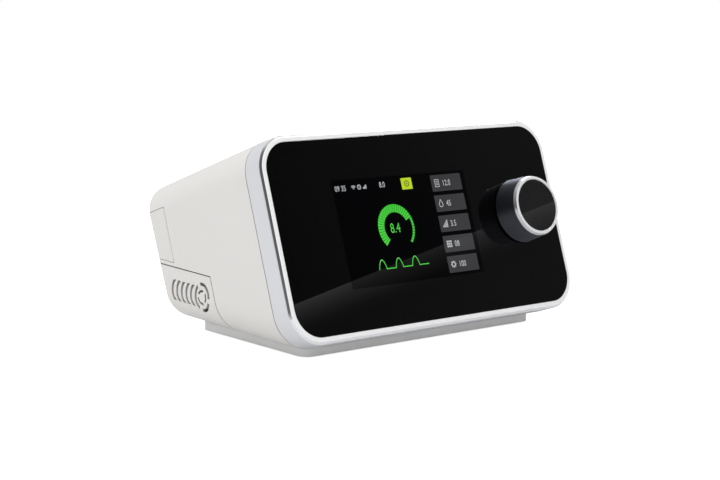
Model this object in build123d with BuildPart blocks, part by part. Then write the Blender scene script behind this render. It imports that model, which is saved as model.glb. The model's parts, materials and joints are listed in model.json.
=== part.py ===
from build123d import *
import os
from math import cos, radians, sin, tan

os.makedirs("parts", exist_ok=True)

# A bedside breathing machine, in millimetres.
# X runs to the right as the user sees the front, Y runs back and Z runs up.
# The origin is on the table, under the middle of the machine.

# Front panel and its lean
PANEL_WIDTH = 205.0
PANEL_HEIGHT = 104.0
PANEL_CORNER = 15.8
PANEL_LEAN = radians(19.7)
PANEL_FOOT_Y = -78.0
PANEL_FOOT_Z = 15.1
GLASS_THICKNESS = 1.8
TAPE_THICKNESS = 0.15

# Silver bezel round the glass
RIM = 3.8
RIM_CHAMFER = 1.6
SEAM_DEPTH = 13.5
SEAM_GROOVE = 0.3
BEZEL_WALL = 2.4
LEDGE_WIDTH = 3.5
LEDGE_THICKNESS = 2.0
GLASS_CLEARANCE = 0.15

# Casing behind the bezel
CASE_WALL = 2.4
SIDE_TAPER = radians(3.2)
TOP_TAPER = radians(0.8)
FORM_DEPTH = 125.0
FORM_CORNER = 15.4
REAR_LEAN = radians(22.0)
REAR_FOOT_Y = 39.4
REAR_ROUND = 5.5

# Base slab and feet
FOOT_PROUD = 1.0
FOOT_RADIUS = 7.0
FOOT_RECESS = 1.5
FOOT_INSET_X = 19.8
FOOT_INSET_Y = 12.0
SLAB_WIDTH = 171.6
SLAB_DEPTH = 87.9
SLAB_FRONT_Y = -61.3
SLAB_FRONT_CORNER = 6.5
SLAB_REAR_CORNER = 1.5
TRIM_DEPTH = 10.8
TRAY_FLOOR = 2.4
TRAY_FLANGE = 12.0
TRAY_WALL = 2.0
UPSTAND = 3.5
FIT_GAP = 0.3

# Screws of the casing
SCREW_RADIUS = 1.5
SCREW_HEAD_RADIUS = 2.8
SCREW_HEAD_HEIGHT = 1.8
SCREW_LENGTH = 12.0
SCREW_SLOT = 0.8
SCREW_INSET = 6.0
BOSS_RADIUS = 4.0
BOSS_HEIGHT = 7.2
BOSS_ROOF = 1.0
THREAD_GAP = 0.03

# Display
DISPLAY_WIDTH = 105.5
DISPLAY_HEIGHT = 67.2
DISPLAY_THICKNESS = 3.0
DISPLAY_X = -12.5
DISPLAY_RISE = 51.7
DISPLAY_LIP = 3.0

# Inner frame that carries display and board
FRAME_PLATE = 2.0
FRAME_SKIRT = 1.6
FRAME_OVERLAP = 4.0
FRAME_GAP = 0.6
POST_RADIUS = 2.6
POST_HEIGHT = 2.6
POST_SCREW_RADIUS = 1.0
POST_SCREW_LENGTH = 4.5
POST_SCREW_HEAD = 0.9
BOARD_THICKNESS = 1.6
CONTROL_BOARD_WIDTH = 188.0
CONTROL_BOARD_HEIGHT = 80.0
POST_SPACING_X = 176.0
POST_SPACING_RISE = 70.0

# Knob and the rotary switch under it
KNOB_X = 73.1
KNOB_RISE = 54.3
KNOB_RADIUS = 17.3
KNOB_FLARE = 1.2
KNOB_FRONT = 16.2
KNOB_REAR = 1.0
KNOB_WALL = 2.4
KNOB_WEB = 2.5
RING_WIDTH = 2.3
RING_HEIGHT = 2.0
RING_BEVEL_WIDTH = 0.8
RING_BEVEL_HEIGHT = 1.8
CAP_DROP = 0.4
CAP_ROUND = 0.35
CAP_GAP = 0.15
HUB_RADIUS = 6.0
HUB_REAR = 5.2
PUSH_TRAVEL = 0.6
SWITCH_SHAFT_RADIUS = 3.0
SWITCH_SHAFT_REACH = 10.5
SWITCH_SIZE = 15.0
SWITCH_FRONT = 2.6
SWITCH_COVER = 1.0
BUSH_RADIUS = 4.6
BUSH_REACH = 3.0
BUSH_HOLE_GAP = 0.3
SLEEVE_RADIUS = 3.8
SLEEVE_FLANGE_RADIUS = 5.4
SLEEVE_FLANGE_HEIGHT = 1.0
RUNNING_GAP = 0.05
NUT_RADIUS = 8.0
NUT_HEIGHT = 2.0
NUT_CHAMFER = 0.4

# Intake cover at the lower rear of the left side
COVER_WALL = 2.1
COVER_DEPTH = 63.8
COVER_TOP_Z = 37.2
COVER_CORNER = 2.0
COVER_SIDE_GAP = 0.4
COVER_TOP_GAP = 0.55
COVER_FRONT_GAP = 0.45
TAB_SIZE = 5.0
TAB_THICKNESS = 1.4
FOOT_TAB_X = -92.0
FOOT_TAB_Z = 12.0
TOP_TAB_X = -96.5
TOP_TAB_Z = 32.4
TOP_TAB_SPOTS = (10.7, 24.7)
SEAM_GAP = 0.25
LIP_WALL = 1.5
LIP_REACH = 2.5

# Grille in the intake cover
GRILLE_Y = 5.7
GRILLE_Z = 24.3
RING_HALF_WIDTH = 7.2
RING_HALF_HEIGHT = 8.2
RING_SLOT = 1.8
INNER_RING = 4.1
INNER_SLOT = 1.2
SLOT_COUNT = 5
SLOT_PITCH = 4.6
SLOT_HALF_LENGTH = 5.8
RING_BRIDGE = 2.6
INNER_BRIDGE = 1.9
RING_BRIDGE_ANGLES = (65, 191, 288)
INNER_BRIDGE_ANGLES = (8, 123, 237)

# Door at the upper rear of the left side
DOOR_DEPTH = 96.4
DOOR_TOP_RISE = 92.0
DOOR_BOTTOM_Z = 39.2
DOOR_INNER_X = -71.7
BAY_FRONT = 99.4
BAY_LOW_RISE = 63.0
BAY_WALL = 1.4
DOOR_PIN_RADIUS = 0.6
DOOR_PIN_BITE = 2.0
DOOR_BARREL_RADIUS = 1.15
DOOR_BARREL_LOW = 2.9
DOOR_EDGE_LAND = 0.1
DOOR_BEVEL_HEIGHT = 2.9
DOOR_BEVEL_ANGLE = 36.0

# Memory card and its socket in the bay
CARD_WIDTH = 24.0
CARD_LENGTH = 32.0
CARD_THICKNESS = 2.1
CARD_PROUD = 2.0
CARD_X = -83.0
CARD_RISE = 77.5
SOCKET_WALL = 1.0
CARD_GAP = 0.1

# Air path
BLOWER_X = -14.0
BLOWER_Y = -5.3
PIPE_OFFSET = 23.0
PIPE_RADIUS = 11.0
PIPE_WALL = 1.8
CHAMBER_BOSS_GAP = 3.3
CHAMBER_RIGHT_X = 22.0
CHAMBER_FRONT_Y = -31.3
CHAMBER_REAR_Y = 30.7
CHAMBER_HEIGHT = 23.0
CHAMBER_WALL = 1.8
NECK_FRONT_Y = 0.7
NECK_REAR_Y = 36.7
NECK_LOW_Z = 17.2
NECK_TOP_Z = 31.8
FOAM_HEIGHT = 8.0
FOAM_GAP = 0.3
FILTER_THICKNESS = 7.0
FILTER_FACE_X = -97.8
MOUNT_HEIGHT = 3.5
MOUNT_RADIUS = 20.0
EYE_RADIUS = 12.0
SCROLL_RADIUS = 34.0
SCROLL_HEIGHT = 26.0
SCROLL_WALL = 2.0
IMPELLER_RADIUS = 27.0
IMPELLER_DISC = 1.5
IMPELLER_LIFT = 5.5
IMPELLER_HUB_RADIUS = 5.0
IMPELLER_HUB_HEIGHT = 13.5
BLADE_COUNT = 11
BLADE_HEIGHT = 9.0
BLADE_THICKNESS = 1.2
BLADE_LENGTH = 19.0
BLADE_MIDDLE = 16.0
BLADE_SWEEP = 32.0
SHAFT_RADIUS = 2.0
SHAFT_HOLE_GAP = 1.0
BEARING_RADIUS = 5.0
BEARING_HEIGHT = 3.5
BEARING_SEAT_WALL = 1.5
BEARING_WEB = 1.0
MOTOR_RADIUS = 17.0
MOTOR_HEIGHT = 22.0
MOTOR_WALL = 1.5
STATOR_BORE = 8.6
STATOR_HEIGHT = 12.0
STATOR_LIFT = 4.0
MAGNET_RADIUS = 8.0
PIPE_REACH = 2.0
COUPLING_SPAN = 4.0
COUPLING_WALL = 2.0
COUPLING_GRIP = 3.0

# Air outlet at the rear
SPIGOT_RADIUS = 11.0
SPIGOT_LENGTH = 16.0
SPIGOT_CHAMFER = 0.8
SPIGOT_BORE = 9.2
SHOULDER_RADIUS = 12.5
COLLAR_WALL = 2.2
COLLAR_PROUD = 1.2
COLLAR_INNER_Y = 40.7
OUTLET_FLANGE = 2.0
OUTLET_FLANGE_RADIUS = 16.0

# Power socket at the rear
POWER_X = 62.0
POWER_Z = 26.0
POWER_RADIUS = 6.0
POWER_BORE = 4.0
POWER_BORE_DEPTH = 9.0
POWER_PIN_RADIUS = 1.2
POWER_BODY = 14.0
POWER_BODY_LENGTH = 12.0
POWER_COLLAR_INNER_Y = 36.7

# Main board
MAIN_BOARD_Z = 14.5
MAIN_BOARD_X = 57.0
MAIN_BOARD_Y = -9.3
MAIN_BOARD_WIDTH = 58.0
MAIN_BOARD_DEPTH = 68.0
STANDOFF_SPACING_X = 22.0
STANDOFF_SPACING_Y = 34.0
STANDOFF_X = 52.0
STANDOFF_RADIUS = 3.0
# Parts on the main board: left, front, width, depth and height, from the board's front left corner
BOARD_PARTS = (
    (6.0, 4.0, 14.0, 8.0, 9.0),
    (42.0, 4.0, 14.0, 12.0, 6.0),
    (38.0, 26.0, 16.0, 16.0, 10.0),
    (8.0, 58.0, 10.0, 8.0, 5.0),
)
BUZZER_X = 76.0
BUZZER_Y = 12.7
BUZZER_RADIUS = 6.0
BUZZER_HEIGHT = 8.0

# Values that follow from the sizes above
LEAN_SIN = sin(PANEL_LEAN)
LEAN_COS = cos(PANEL_LEAN)
SHELL_WIDTH = PANEL_WIDTH + 2 * RIM
SHELL_HEIGHT = PANEL_HEIGHT + 2 * RIM
SHELL_CORNER = PANEL_CORNER + RIM
PANEL_MIDDLE = PANEL_HEIGHT / 2
UNDERSIDE_Z = PANEL_FOOT_Z - RIM * LEAN_COS - SEAM_DEPTH * LEAN_SIN
SLAB_REAR_Y = SLAB_FRONT_Y + SLAB_DEPTH
TRAY_FRONT_Y = SLAB_FRONT_Y + TRIM_DEPTH
TRAY_DEPTH = SLAB_DEPTH - TRIM_DEPTH
TRAY_MIDDLE_Y = TRAY_FRONT_Y + TRAY_DEPTH / 2
TRAY_TOP_Z = UNDERSIDE_Z + UPSTAND
TRAY_FLOOR_Z = FOOT_PROUD + TRAY_FLOOR
LEDGE_FRONT = GLASS_THICKNESS + TAPE_THICKNESS
FRAME_FRONT = LEDGE_FRONT + LEDGE_THICKNESS
FRAME_BACK = FRAME_FRONT + FRAME_PLATE
BOARD_FRONT = FRAME_BACK + POST_HEIGHT
COVER_EDGE_X = -SLAB_WIDTH / 2 - COVER_SIDE_GAP
OUTLET_X = BLOWER_X + PIPE_OFFSET
CHAMBER_TOP_Z = TRAY_TOP_Z + CHAMBER_HEIGHT
SCROLL_Z = CHAMBER_TOP_Z + MOUNT_HEIGHT
OUTLET_Z = SCROLL_Z + SCROLL_HEIGHT / 2
MOTOR_Z = SCROLL_Z + SCROLL_HEIGHT
PIPE_END_Y = BLOWER_Y + SCROLL_RADIUS + PIPE_REACH
CHAMBER_LEFT_X = -SLAB_WIDTH / 2 + SCREW_INSET + BOSS_RADIUS + CHAMBER_BOSS_GAP
DOOR_PIN_X = DOOR_INNER_X - SEAM_GAP - DOOR_BARREL_RADIUS
DOOR_PIN_LOW_Z = DOOR_BOTTOM_Z - DOOR_PIN_BITE

# The plane of the glass: its X is the machine's X, its Y climbs the slope
# and its Z comes out towards the user.
FRONT = Plane(origin=(0, PANEL_FOOT_Y, PANEL_FOOT_Z), x_dir=(1, 0, 0), z_dir=(0, -LEAN_COS, LEAN_SIN))
KNOB = Plane(origin=FRONT.from_local_coords((KNOB_X, KNOB_RISE, 0)), x_dir=(1, 0, 0), z_dir=FRONT.z_dir)
INWARD = Axis((0, 0, 0), (0, LEAN_COS, -LEAN_SIN))
REAR = Plane(origin=(0, 0, 0), x_dir=(-1, 0, 0), z_dir=(0, 1, 0))
REAR_WALL = Plane(
    origin=(0, REAR_FOOT_Y, UNDERSIDE_Z),
    x_dir=(-1, 0, 0),
    z_dir=(0, cos(REAR_LEAN), -sin(REAR_LEAN)),
)


def side(depth, rise):
    """Y and Z of the point that lies depth behind the glass and rise up its slope."""
    y = PANEL_FOOT_Y + rise * LEAN_SIN + depth * LEAN_COS
    z = PANEL_FOOT_Z + rise * LEAN_COS - depth * LEAN_SIN
    return (y, z)


def leaning_y(depth, z):
    """Y at height z of the plane that lies depth behind the glass."""
    return PANEL_FOOT_Y + depth / LEAN_COS + (z - PANEL_FOOT_Z) * tan(PANEL_LEAN)


def rear_y(z):
    """Y of the rear wall's outer face at height z."""
    return REAR_FOOT_Y + (z - UNDERSIDE_Z) * tan(REAR_LEAN)


def rear_depth(rise):
    """Depth of the rear wall behind the glass at a rise up the glass's slope."""
    lean = tan(REAR_LEAN)
    height = PANEL_FOOT_Z + rise * LEAN_COS - UNDERSIDE_Z
    reach = REAR_FOOT_Y - PANEL_FOOT_Y - rise * LEAN_SIN + height * lean
    return reach / (LEAN_COS + LEAN_SIN * lean)


def finish(part, name):
    """Label a finished piece and write it."""
    part.label = name
    export_step(part, f"parts/{name}.step")


def panel_block(front, back, inset=0.0):
    """A block with the outline of the glass, from depth front to depth back."""
    with BuildPart() as block:
        with BuildSketch(FRONT.offset(-front)):
            with Locations((0, PANEL_MIDDLE)):
                RectangleRounded(
                    PANEL_WIDTH - 2 * inset,
                    PANEL_HEIGHT - 2 * inset,
                    PANEL_CORNER - inset,
                )
        extrude(amount=front - back)
    return block.part


def casing_form(inset):
    """The casing's outer form, moved inwards by inset, from the seam to the rear."""
    with BuildPart() as form:
        for depth, corner in ((SEAM_DEPTH, SHELL_CORNER), (FORM_DEPTH, FORM_CORNER)):
            run = depth - SEAM_DEPTH
            half_width = SHELL_WIDTH / 2 - run * tan(SIDE_TAPER) - inset
            low = (UNDERSIDE_Z + inset - PANEL_FOOT_Z + depth * LEAN_SIN) / LEAN_COS
            high = PANEL_HEIGHT + RIM - run * tan(TOP_TAPER) - inset
            with BuildSketch(FRONT.offset(-depth)):
                with Locations((0, (low + high) / 2)):
                    RectangleRounded(2 * half_width, high - low, corner - inset)
        loft(ruled=True)
        split(bisect_by=REAR_WALL.offset(-inset), keep=Keep.BOTTOM)
        rear_face = form.faces().sort_by(Axis(REAR_WALL.origin, REAR_WALL.z_dir))[-1]
        fillet(rear_face.edges(), REAR_ROUND - inset)
    return form.part


def casing_skin(outer, inner):
    """The layer of the casing between two distances from its outer surface."""
    with BuildPart() as skin:
        add(casing_form(outer))
        add(casing_form(inner), mode=Mode.SUBTRACT)
    return skin.part


def cover_zone(grow, rise):
    """The space of the intake cover, larger by grow at the front and by rise at the top."""
    front = COVER_DEPTH - grow
    top = COVER_TOP_Z + rise
    with BuildPart() as zone:
        with BuildSketch(Plane.YZ.offset(-SHELL_WIDTH)) as outline:
            with BuildLine():
                Polyline(
                    (leaning_y(front, 0), 0),
                    (leaning_y(front, top), top),
                    (leaning_y(FORM_DEPTH, top), top),
                    (leaning_y(FORM_DEPTH, top), 0),
                    close=True,
                )
            make_face()
            corner = outline.vertices().group_by(Axis.Z)[-1].sort_by(Axis.Y)[0]
            fillet(corner, COVER_CORNER)
        extrude(amount=SHELL_WIDTH + COVER_EDGE_X + grow)
    return zone.part


def door_zone(grow, inner_x):
    """The space of the port door up to inner_x, larger by grow on each free edge."""
    front = DOOR_DEPTH - grow
    top = DOOR_TOP_RISE + grow
    low = DOOR_BOTTOM_Z - grow
    with BuildPart() as zone:
        with BuildSketch(Plane.YZ.offset(-SHELL_WIDTH)):
            with BuildLine():
                Polyline(
                    (leaning_y(front, low), low),
                    side(front, top),
                    side(FORM_DEPTH, top),
                    (leaning_y(FORM_DEPTH, low), low),
                    close=True,
                )
            make_face()
        extrude(amount=SHELL_WIDTH + inner_x)
    return zone.part


def clipped(solid, zone):
    """The part of a solid that lies inside a zone."""
    with BuildPart() as piece:
        add(solid)
        add(zone, mode=Mode.INTERSECT)
    return piece.part


def ring_lip(outer_zone, inner_zone):
    """A lip on the inside of the casing wall, round an aperture."""
    with BuildPart() as lip:
        add(casing_skin(CASE_WALL, CASE_WALL + LIP_WALL))
        add(outer_zone, mode=Mode.INTERSECT)
        add(inner_zone, mode=Mode.SUBTRACT)
    return lip.part


def screw(radius, length, head_radius, head_height):
    """A pan-head screw that points along +Z, with its head's outer face at the origin."""
    with BuildPart() as body:
        Cylinder(head_radius, head_height, align=(Align.CENTER, Align.CENTER, Align.MIN))
        Cylinder(radius, length, align=(Align.CENTER, Align.CENTER, Align.MIN))
        with BuildSketch(Plane.XY):
            Rectangle(2 * head_radius, SCREW_SLOT)
        extrude(amount=head_height / 2, mode=Mode.SUBTRACT)
    return body.part


def column(x, y, low, high, radius, bore=0.0):
    """An upright cylinder or tube between two heights."""
    with BuildPart() as body:
        with BuildSketch(Plane.XY.offset(low)):
            with Locations((x, y)):
                Circle(radius)
                if bore:
                    Circle(bore, mode=Mode.SUBTRACT)
        extrude(amount=high - low)
    return body.part


def block(low_x, high_x, low_y, high_y, low_z, high_z):
    """A box between two corners."""
    with BuildPart() as body:
        with BuildSketch(Plane.XY.offset(low_z)):
            with Locations((low_x, low_y)):
                Rectangle(high_x - low_x, high_y - low_y, align=(Align.MIN, Align.MIN))
        extrude(amount=high_z - low_z)
    return body.part


def shaft_column(low, high, radius, bore=0.0):
    """An upright cylinder or tube on the blower's axis."""
    return column(BLOWER_X, BLOWER_Y, low, high, radius, bore)


def door_rod(radius, low=0.0):
    """A cylinder on the door's hinge axis, from low above the pin's foot to the pin's top."""
    top_z = side(rear_depth(DOOR_TOP_RISE), DOOR_TOP_RISE)[1] + DOOR_PIN_BITE
    foot = (DOOR_PIN_LOW_Z - UNDERSIDE_Z) / cos(REAR_LEAN)
    hinge = Plane(
        origin=REAR_WALL.from_local_coords((-DOOR_PIN_X, foot, -DOOR_BARREL_RADIUS)),
        x_dir=(1, 0, 0),
        z_dir=REAR_WALL.y_dir,
    )
    with BuildPart() as rod:
        with BuildSketch(hinge.offset(low)):
            Circle(radius)
        extrude(amount=(top_z - DOOR_PIN_LOW_Z) / cos(REAR_LEAN) - low)
    return rod.part


def door_bevel():
    """A block whose sloping sides bevel the door's lower edge on the inside."""
    with BuildPart() as upper_form:
        add(casing_form(DOOR_EDGE_LAND))
        split(bisect_by=Plane.XY.offset(DOOR_BOTTOM_Z + SEAM_GAP), keep=Keep.TOP)
    section = upper_form.faces().sort_by(Axis.Z)[0]
    with BuildPart() as bevel:
        extrude(section, amount=DOOR_BEVEL_HEIGHT, dir=(0, 0, 1), taper=DOOR_BEVEL_ANGLE)
    return bevel.part


def rear_tube(x, z, low_y, high_y, radius, bore=0.0):
    """A cylinder or tube along Y between two distances."""
    with BuildPart() as body:
        with BuildSketch(REAR.offset(low_y)):
            with Locations((-x, z)):
                Circle(radius)
                if bore:
                    Circle(bore, mode=Mode.SUBTRACT)
        extrude(amount=high_y - low_y)
    return body.part


screw_spots = [
    (sign * (SLAB_WIDTH / 2 - SCREW_INSET), y)
    for sign in (-1, 1)
    for y in (TRAY_FRONT_Y + SCREW_INSET, SLAB_REAR_Y - SCREW_INSET)
]
post_spots = [
    (sign_x * POST_SPACING_X / 2, PANEL_MIDDLE + sign_rise * POST_SPACING_RISE / 2)
    for sign_x in (-1, 1)
    for sign_rise in (-1, 1)
]
standoff_spots = [
    (STANDOFF_X + sign_x * STANDOFF_SPACING_X / 2, MAIN_BOARD_Y + sign_y * STANDOFF_SPACING_Y / 2)
    for sign_x in (-1, 1)
    for sign_y in (-1, 1)
]

foot_spots = [
    (sign * (SLAB_WIDTH / 2 - FOOT_INSET_X), y)
    for sign in (-1, 1)
    for y in (TRAY_FRONT_Y + FOOT_INSET_Y, SLAB_REAR_Y - FOOT_INSET_Y)
]

# Glass panel, with the hole for the switch's threaded bush
with BuildPart() as front_glass:
    add(panel_block(0, GLASS_THICKNESS, GLASS_CLEARANCE))
    with BuildSketch(KNOB):
        Circle(BUSH_RADIUS + BUSH_HOLE_GAP)
    extrude(amount=-GLASS_THICKNESS, mode=Mode.SUBTRACT)
finish(front_glass.part, "front_glass")

# Bezel: one ring with a chamfered rim, a ledge for the glass and a thin wall behind
with BuildPart() as bezel:
    with BuildSketch(FRONT):
        with Locations((0, PANEL_MIDDLE)):
            RectangleRounded(SHELL_WIDTH, SHELL_HEIGHT, SHELL_CORNER)
    extrude(amount=-SEAM_DEPTH)
    chamfer(bezel.faces().sort_by(INWARD)[0].outer_wire().edges(), RIM_CHAMFER)
    chamfer(bezel.faces().sort_by(INWARD)[-1].outer_wire().edges(), SEAM_GROOVE)
    add(panel_block(0, LEDGE_FRONT), mode=Mode.SUBTRACT)
    add(panel_block(LEDGE_FRONT, FRAME_FRONT, LEDGE_WIDTH), mode=Mode.SUBTRACT)
    add(panel_block(FRAME_FRONT, SEAM_DEPTH, BEZEL_WALL - RIM), mode=Mode.SUBTRACT)
finish(bezel.part, "bezel")

# Display module, straight behind the glass
with BuildPart() as display_module:
    with BuildSketch(FRONT.offset(-LEDGE_FRONT)):
        with Locations((DISPLAY_X, DISPLAY_RISE)):
            Rectangle(DISPLAY_WIDTH, DISPLAY_HEIGHT)
    extrude(amount=-DISPLAY_THICKNESS)
finish(display_module.part, "display_module")

# Inner frame: a plate with a stepped window, a skirt across the seam and four posts
with BuildPart() as front_frame:
    add(panel_block(FRAME_FRONT, SEAM_DEPTH + FRAME_OVERLAP, CASE_WALL - RIM + FRAME_GAP))
    add(
        panel_block(FRAME_BACK, SEAM_DEPTH + FRAME_OVERLAP, CASE_WALL - RIM + FRAME_GAP + FRAME_SKIRT),
        mode=Mode.SUBTRACT,
    )
    with BuildSketch(FRONT.offset(-FRAME_FRONT)):
        with Locations((DISPLAY_X, DISPLAY_RISE)):
            Rectangle(DISPLAY_WIDTH + 2 * FIT_GAP, DISPLAY_HEIGHT + 2 * FIT_GAP)
    extrude(amount=FRAME_FRONT - LEDGE_FRONT - DISPLAY_THICKNESS, mode=Mode.SUBTRACT)
    with BuildSketch(FRONT.offset(-FRAME_FRONT)):
        with Locations((DISPLAY_X, DISPLAY_RISE)):
            Rectangle(DISPLAY_WIDTH - 2 * DISPLAY_LIP, DISPLAY_HEIGHT - 2 * DISPLAY_LIP)
        with Locations((KNOB_X, KNOB_RISE)):
            Rectangle(SWITCH_SIZE + 2 * FIT_GAP, SWITCH_SIZE + 2 * FIT_GAP)
    extrude(amount=-FRAME_PLATE, mode=Mode.SUBTRACT)
    with BuildSketch(FRONT.offset(-FRAME_BACK)):
        with Locations(*post_spots):
            Circle(POST_RADIUS)
    extrude(amount=-POST_HEIGHT)
    with BuildSketch(FRONT.offset(-BOARD_FRONT)):
        with Locations(*post_spots):
            Circle(POST_SCREW_RADIUS + THREAD_GAP)
    extrude(amount=POST_HEIGHT + FRAME_PLATE / 2, mode=Mode.SUBTRACT)
    # The skirt stops at the seam along the foot, where the casing's floor lies close behind
    with BuildSketch(FRONT.offset(-SEAM_DEPTH)):
        Rectangle(SHELL_WIDTH, 2 * SHELL_CORNER)
    extrude(amount=-FRAME_OVERLAP, mode=Mode.SUBTRACT)
finish(front_frame.part, "front_frame")

# Control board on the frame's posts
with BuildPart() as control_board:
    with BuildSketch(FRONT.offset(-BOARD_FRONT)):
        with Locations((0, PANEL_MIDDLE)):
            RectangleRounded(CONTROL_BOARD_WIDTH, CONTROL_BOARD_HEIGHT, POST_RADIUS)
        with Locations(*post_spots):
            Circle(POST_SCREW_RADIUS + FIT_GAP, mode=Mode.SUBTRACT)
    extrude(amount=-BOARD_THICKNESS)
finish(control_board.part, "control_board")

# Screws of the control board, driven from behind
with BuildPart() as board_screws:
    with Locations(FRONT.offset(-BOARD_FRONT - BOARD_THICKNESS - POST_SCREW_HEAD)):
        with Locations(*post_spots):
            add(screw(POST_SCREW_RADIUS, POST_SCREW_LENGTH, POST_RADIUS, POST_SCREW_HEAD))
finish(board_screws.part, "board_screws")

# Rotary switch: its housing on the board, with a threaded bush through the glass
SWITCH_DEPTH = BOARD_FRONT - SWITCH_FRONT
with BuildPart() as switch_housing:
    with BuildSketch(KNOB.offset(-SWITCH_FRONT)):
        Rectangle(SWITCH_SIZE, SWITCH_SIZE)
    extrude(amount=-SWITCH_DEPTH)
    with BuildSketch(KNOB.offset(-SWITCH_FRONT)):
        Circle(BUSH_RADIUS)
    extrude(amount=SWITCH_FRONT + BUSH_REACH)
    with BuildSketch(KNOB.offset(-SWITCH_FRONT - SWITCH_COVER)):
        Circle(SLEEVE_FLANGE_RADIUS + FIT_GAP)
    extrude(amount=SWITCH_COVER * 2 - SWITCH_DEPTH, mode=Mode.SUBTRACT)
    with BuildSketch(KNOB.offset(BUSH_REACH)):
        Circle(SLEEVE_RADIUS + RUNNING_GAP)
    extrude(amount=-BUSH_REACH - SWITCH_FRONT - SWITCH_COVER, mode=Mode.SUBTRACT)
finish(switch_housing.part, "switch_housing")

# Nut that clamps the bush to the glass
with BuildPart() as switch_nut:
    with BuildSketch(KNOB):
        Circle(NUT_RADIUS)
        Circle(BUSH_RADIUS + THREAD_GAP, mode=Mode.SUBTRACT)
    extrude(amount=NUT_HEIGHT)
    chamfer(switch_nut.faces().sort_by(INWARD)[0].outer_wire().edges(), NUT_CHAMFER)
finish(switch_nut.part, "switch_nut")

# Push sleeve: it slides in the bush and carries the turning shaft
SLEEVE_BACK = SWITCH_FRONT + SWITCH_COVER + FIT_GAP + SLEEVE_FLANGE_HEIGHT
with BuildPart() as push_sleeve:
    with BuildSketch(KNOB.offset(-SLEEVE_BACK)):
        Circle(SLEEVE_FLANGE_RADIUS)
    extrude(amount=SLEEVE_FLANGE_HEIGHT)
    with BuildSketch(KNOB.offset(-SLEEVE_BACK)):
        Circle(SLEEVE_RADIUS)
    extrude(amount=SLEEVE_BACK + BUSH_REACH + PUSH_TRAVEL + FIT_GAP)
    with BuildSketch(KNOB.offset(-SLEEVE_BACK)):
        Circle(SWITCH_SHAFT_RADIUS + RUNNING_GAP)
    extrude(amount=SLEEVE_BACK + KNOB_FRONT, mode=Mode.SUBTRACT)
finish(push_sleeve.part, "push_sleeve")

# Shaft that turns in the sleeve and holds the knob
with BuildPart() as knob_shaft:
    with BuildSketch(KNOB.offset(-SLEEVE_BACK)):
        Circle(SWITCH_SHAFT_RADIUS)
    extrude(amount=SLEEVE_BACK + SWITCH_SHAFT_REACH)
finish(knob_shaft.part, "knob_shaft")

# Knob: a turned cup, wider at the rear, with a hub on the shaft
KNOB_SHOULDER = KNOB_FRONT - RING_HEIGHT
with BuildPart() as knob_body:
    with BuildSketch(KNOB.offset(KNOB_REAR)):
        Circle(KNOB_RADIUS + KNOB_FLARE)
    with BuildSketch(KNOB.offset(KNOB_SHOULDER)):
        Circle(KNOB_RADIUS)
    loft()
    chamfer(knob_body.faces().sort_by(INWARD)[-1].edges(), SEAM_GROOVE)
    with BuildSketch(KNOB.offset(KNOB_REAR)):
        Circle(KNOB_RADIUS - KNOB_WALL)
    extrude(amount=KNOB_SHOULDER - KNOB_REAR - KNOB_WEB, mode=Mode.SUBTRACT)
    with BuildSketch(KNOB.offset(HUB_REAR)):
        Circle(HUB_RADIUS)
    extrude(amount=KNOB_SHOULDER - HUB_REAR)
    with BuildSketch(KNOB.offset(HUB_REAR)):
        Circle(SWITCH_SHAFT_RADIUS + THREAD_GAP)
    extrude(amount=SWITCH_SHAFT_REACH + FIT_GAP - HUB_REAR, mode=Mode.SUBTRACT)
finish(knob_body.part, "knob_body")

# Bright ring round the knob's front, its outer edge bevelled
with BuildPart() as knob_ring:
    with BuildSketch(KNOB.offset(KNOB_SHOULDER)):
        Circle(KNOB_RADIUS)
        Circle(KNOB_RADIUS - RING_WIDTH, mode=Mode.SUBTRACT)
    extrude(amount=RING_HEIGHT)
    ring_face = knob_ring.faces().sort_by(INWARD)[0]
    chamfer(ring_face.outer_wire().edges(), RING_BEVEL_WIDTH, RING_BEVEL_HEIGHT, reference=ring_face)
finish(knob_ring.part, "knob_ring")

# Black cap inside the ring
with BuildPart() as knob_cap:
    with BuildSketch(KNOB.offset(KNOB_SHOULDER)):
        Circle(KNOB_RADIUS - RING_WIDTH - CAP_GAP)
    extrude(amount=RING_HEIGHT - CAP_DROP)
    fillet(knob_cap.faces().sort_by(INWARD)[0].edges(), CAP_ROUND)
finish(knob_cap.part, "knob_cap")

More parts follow.
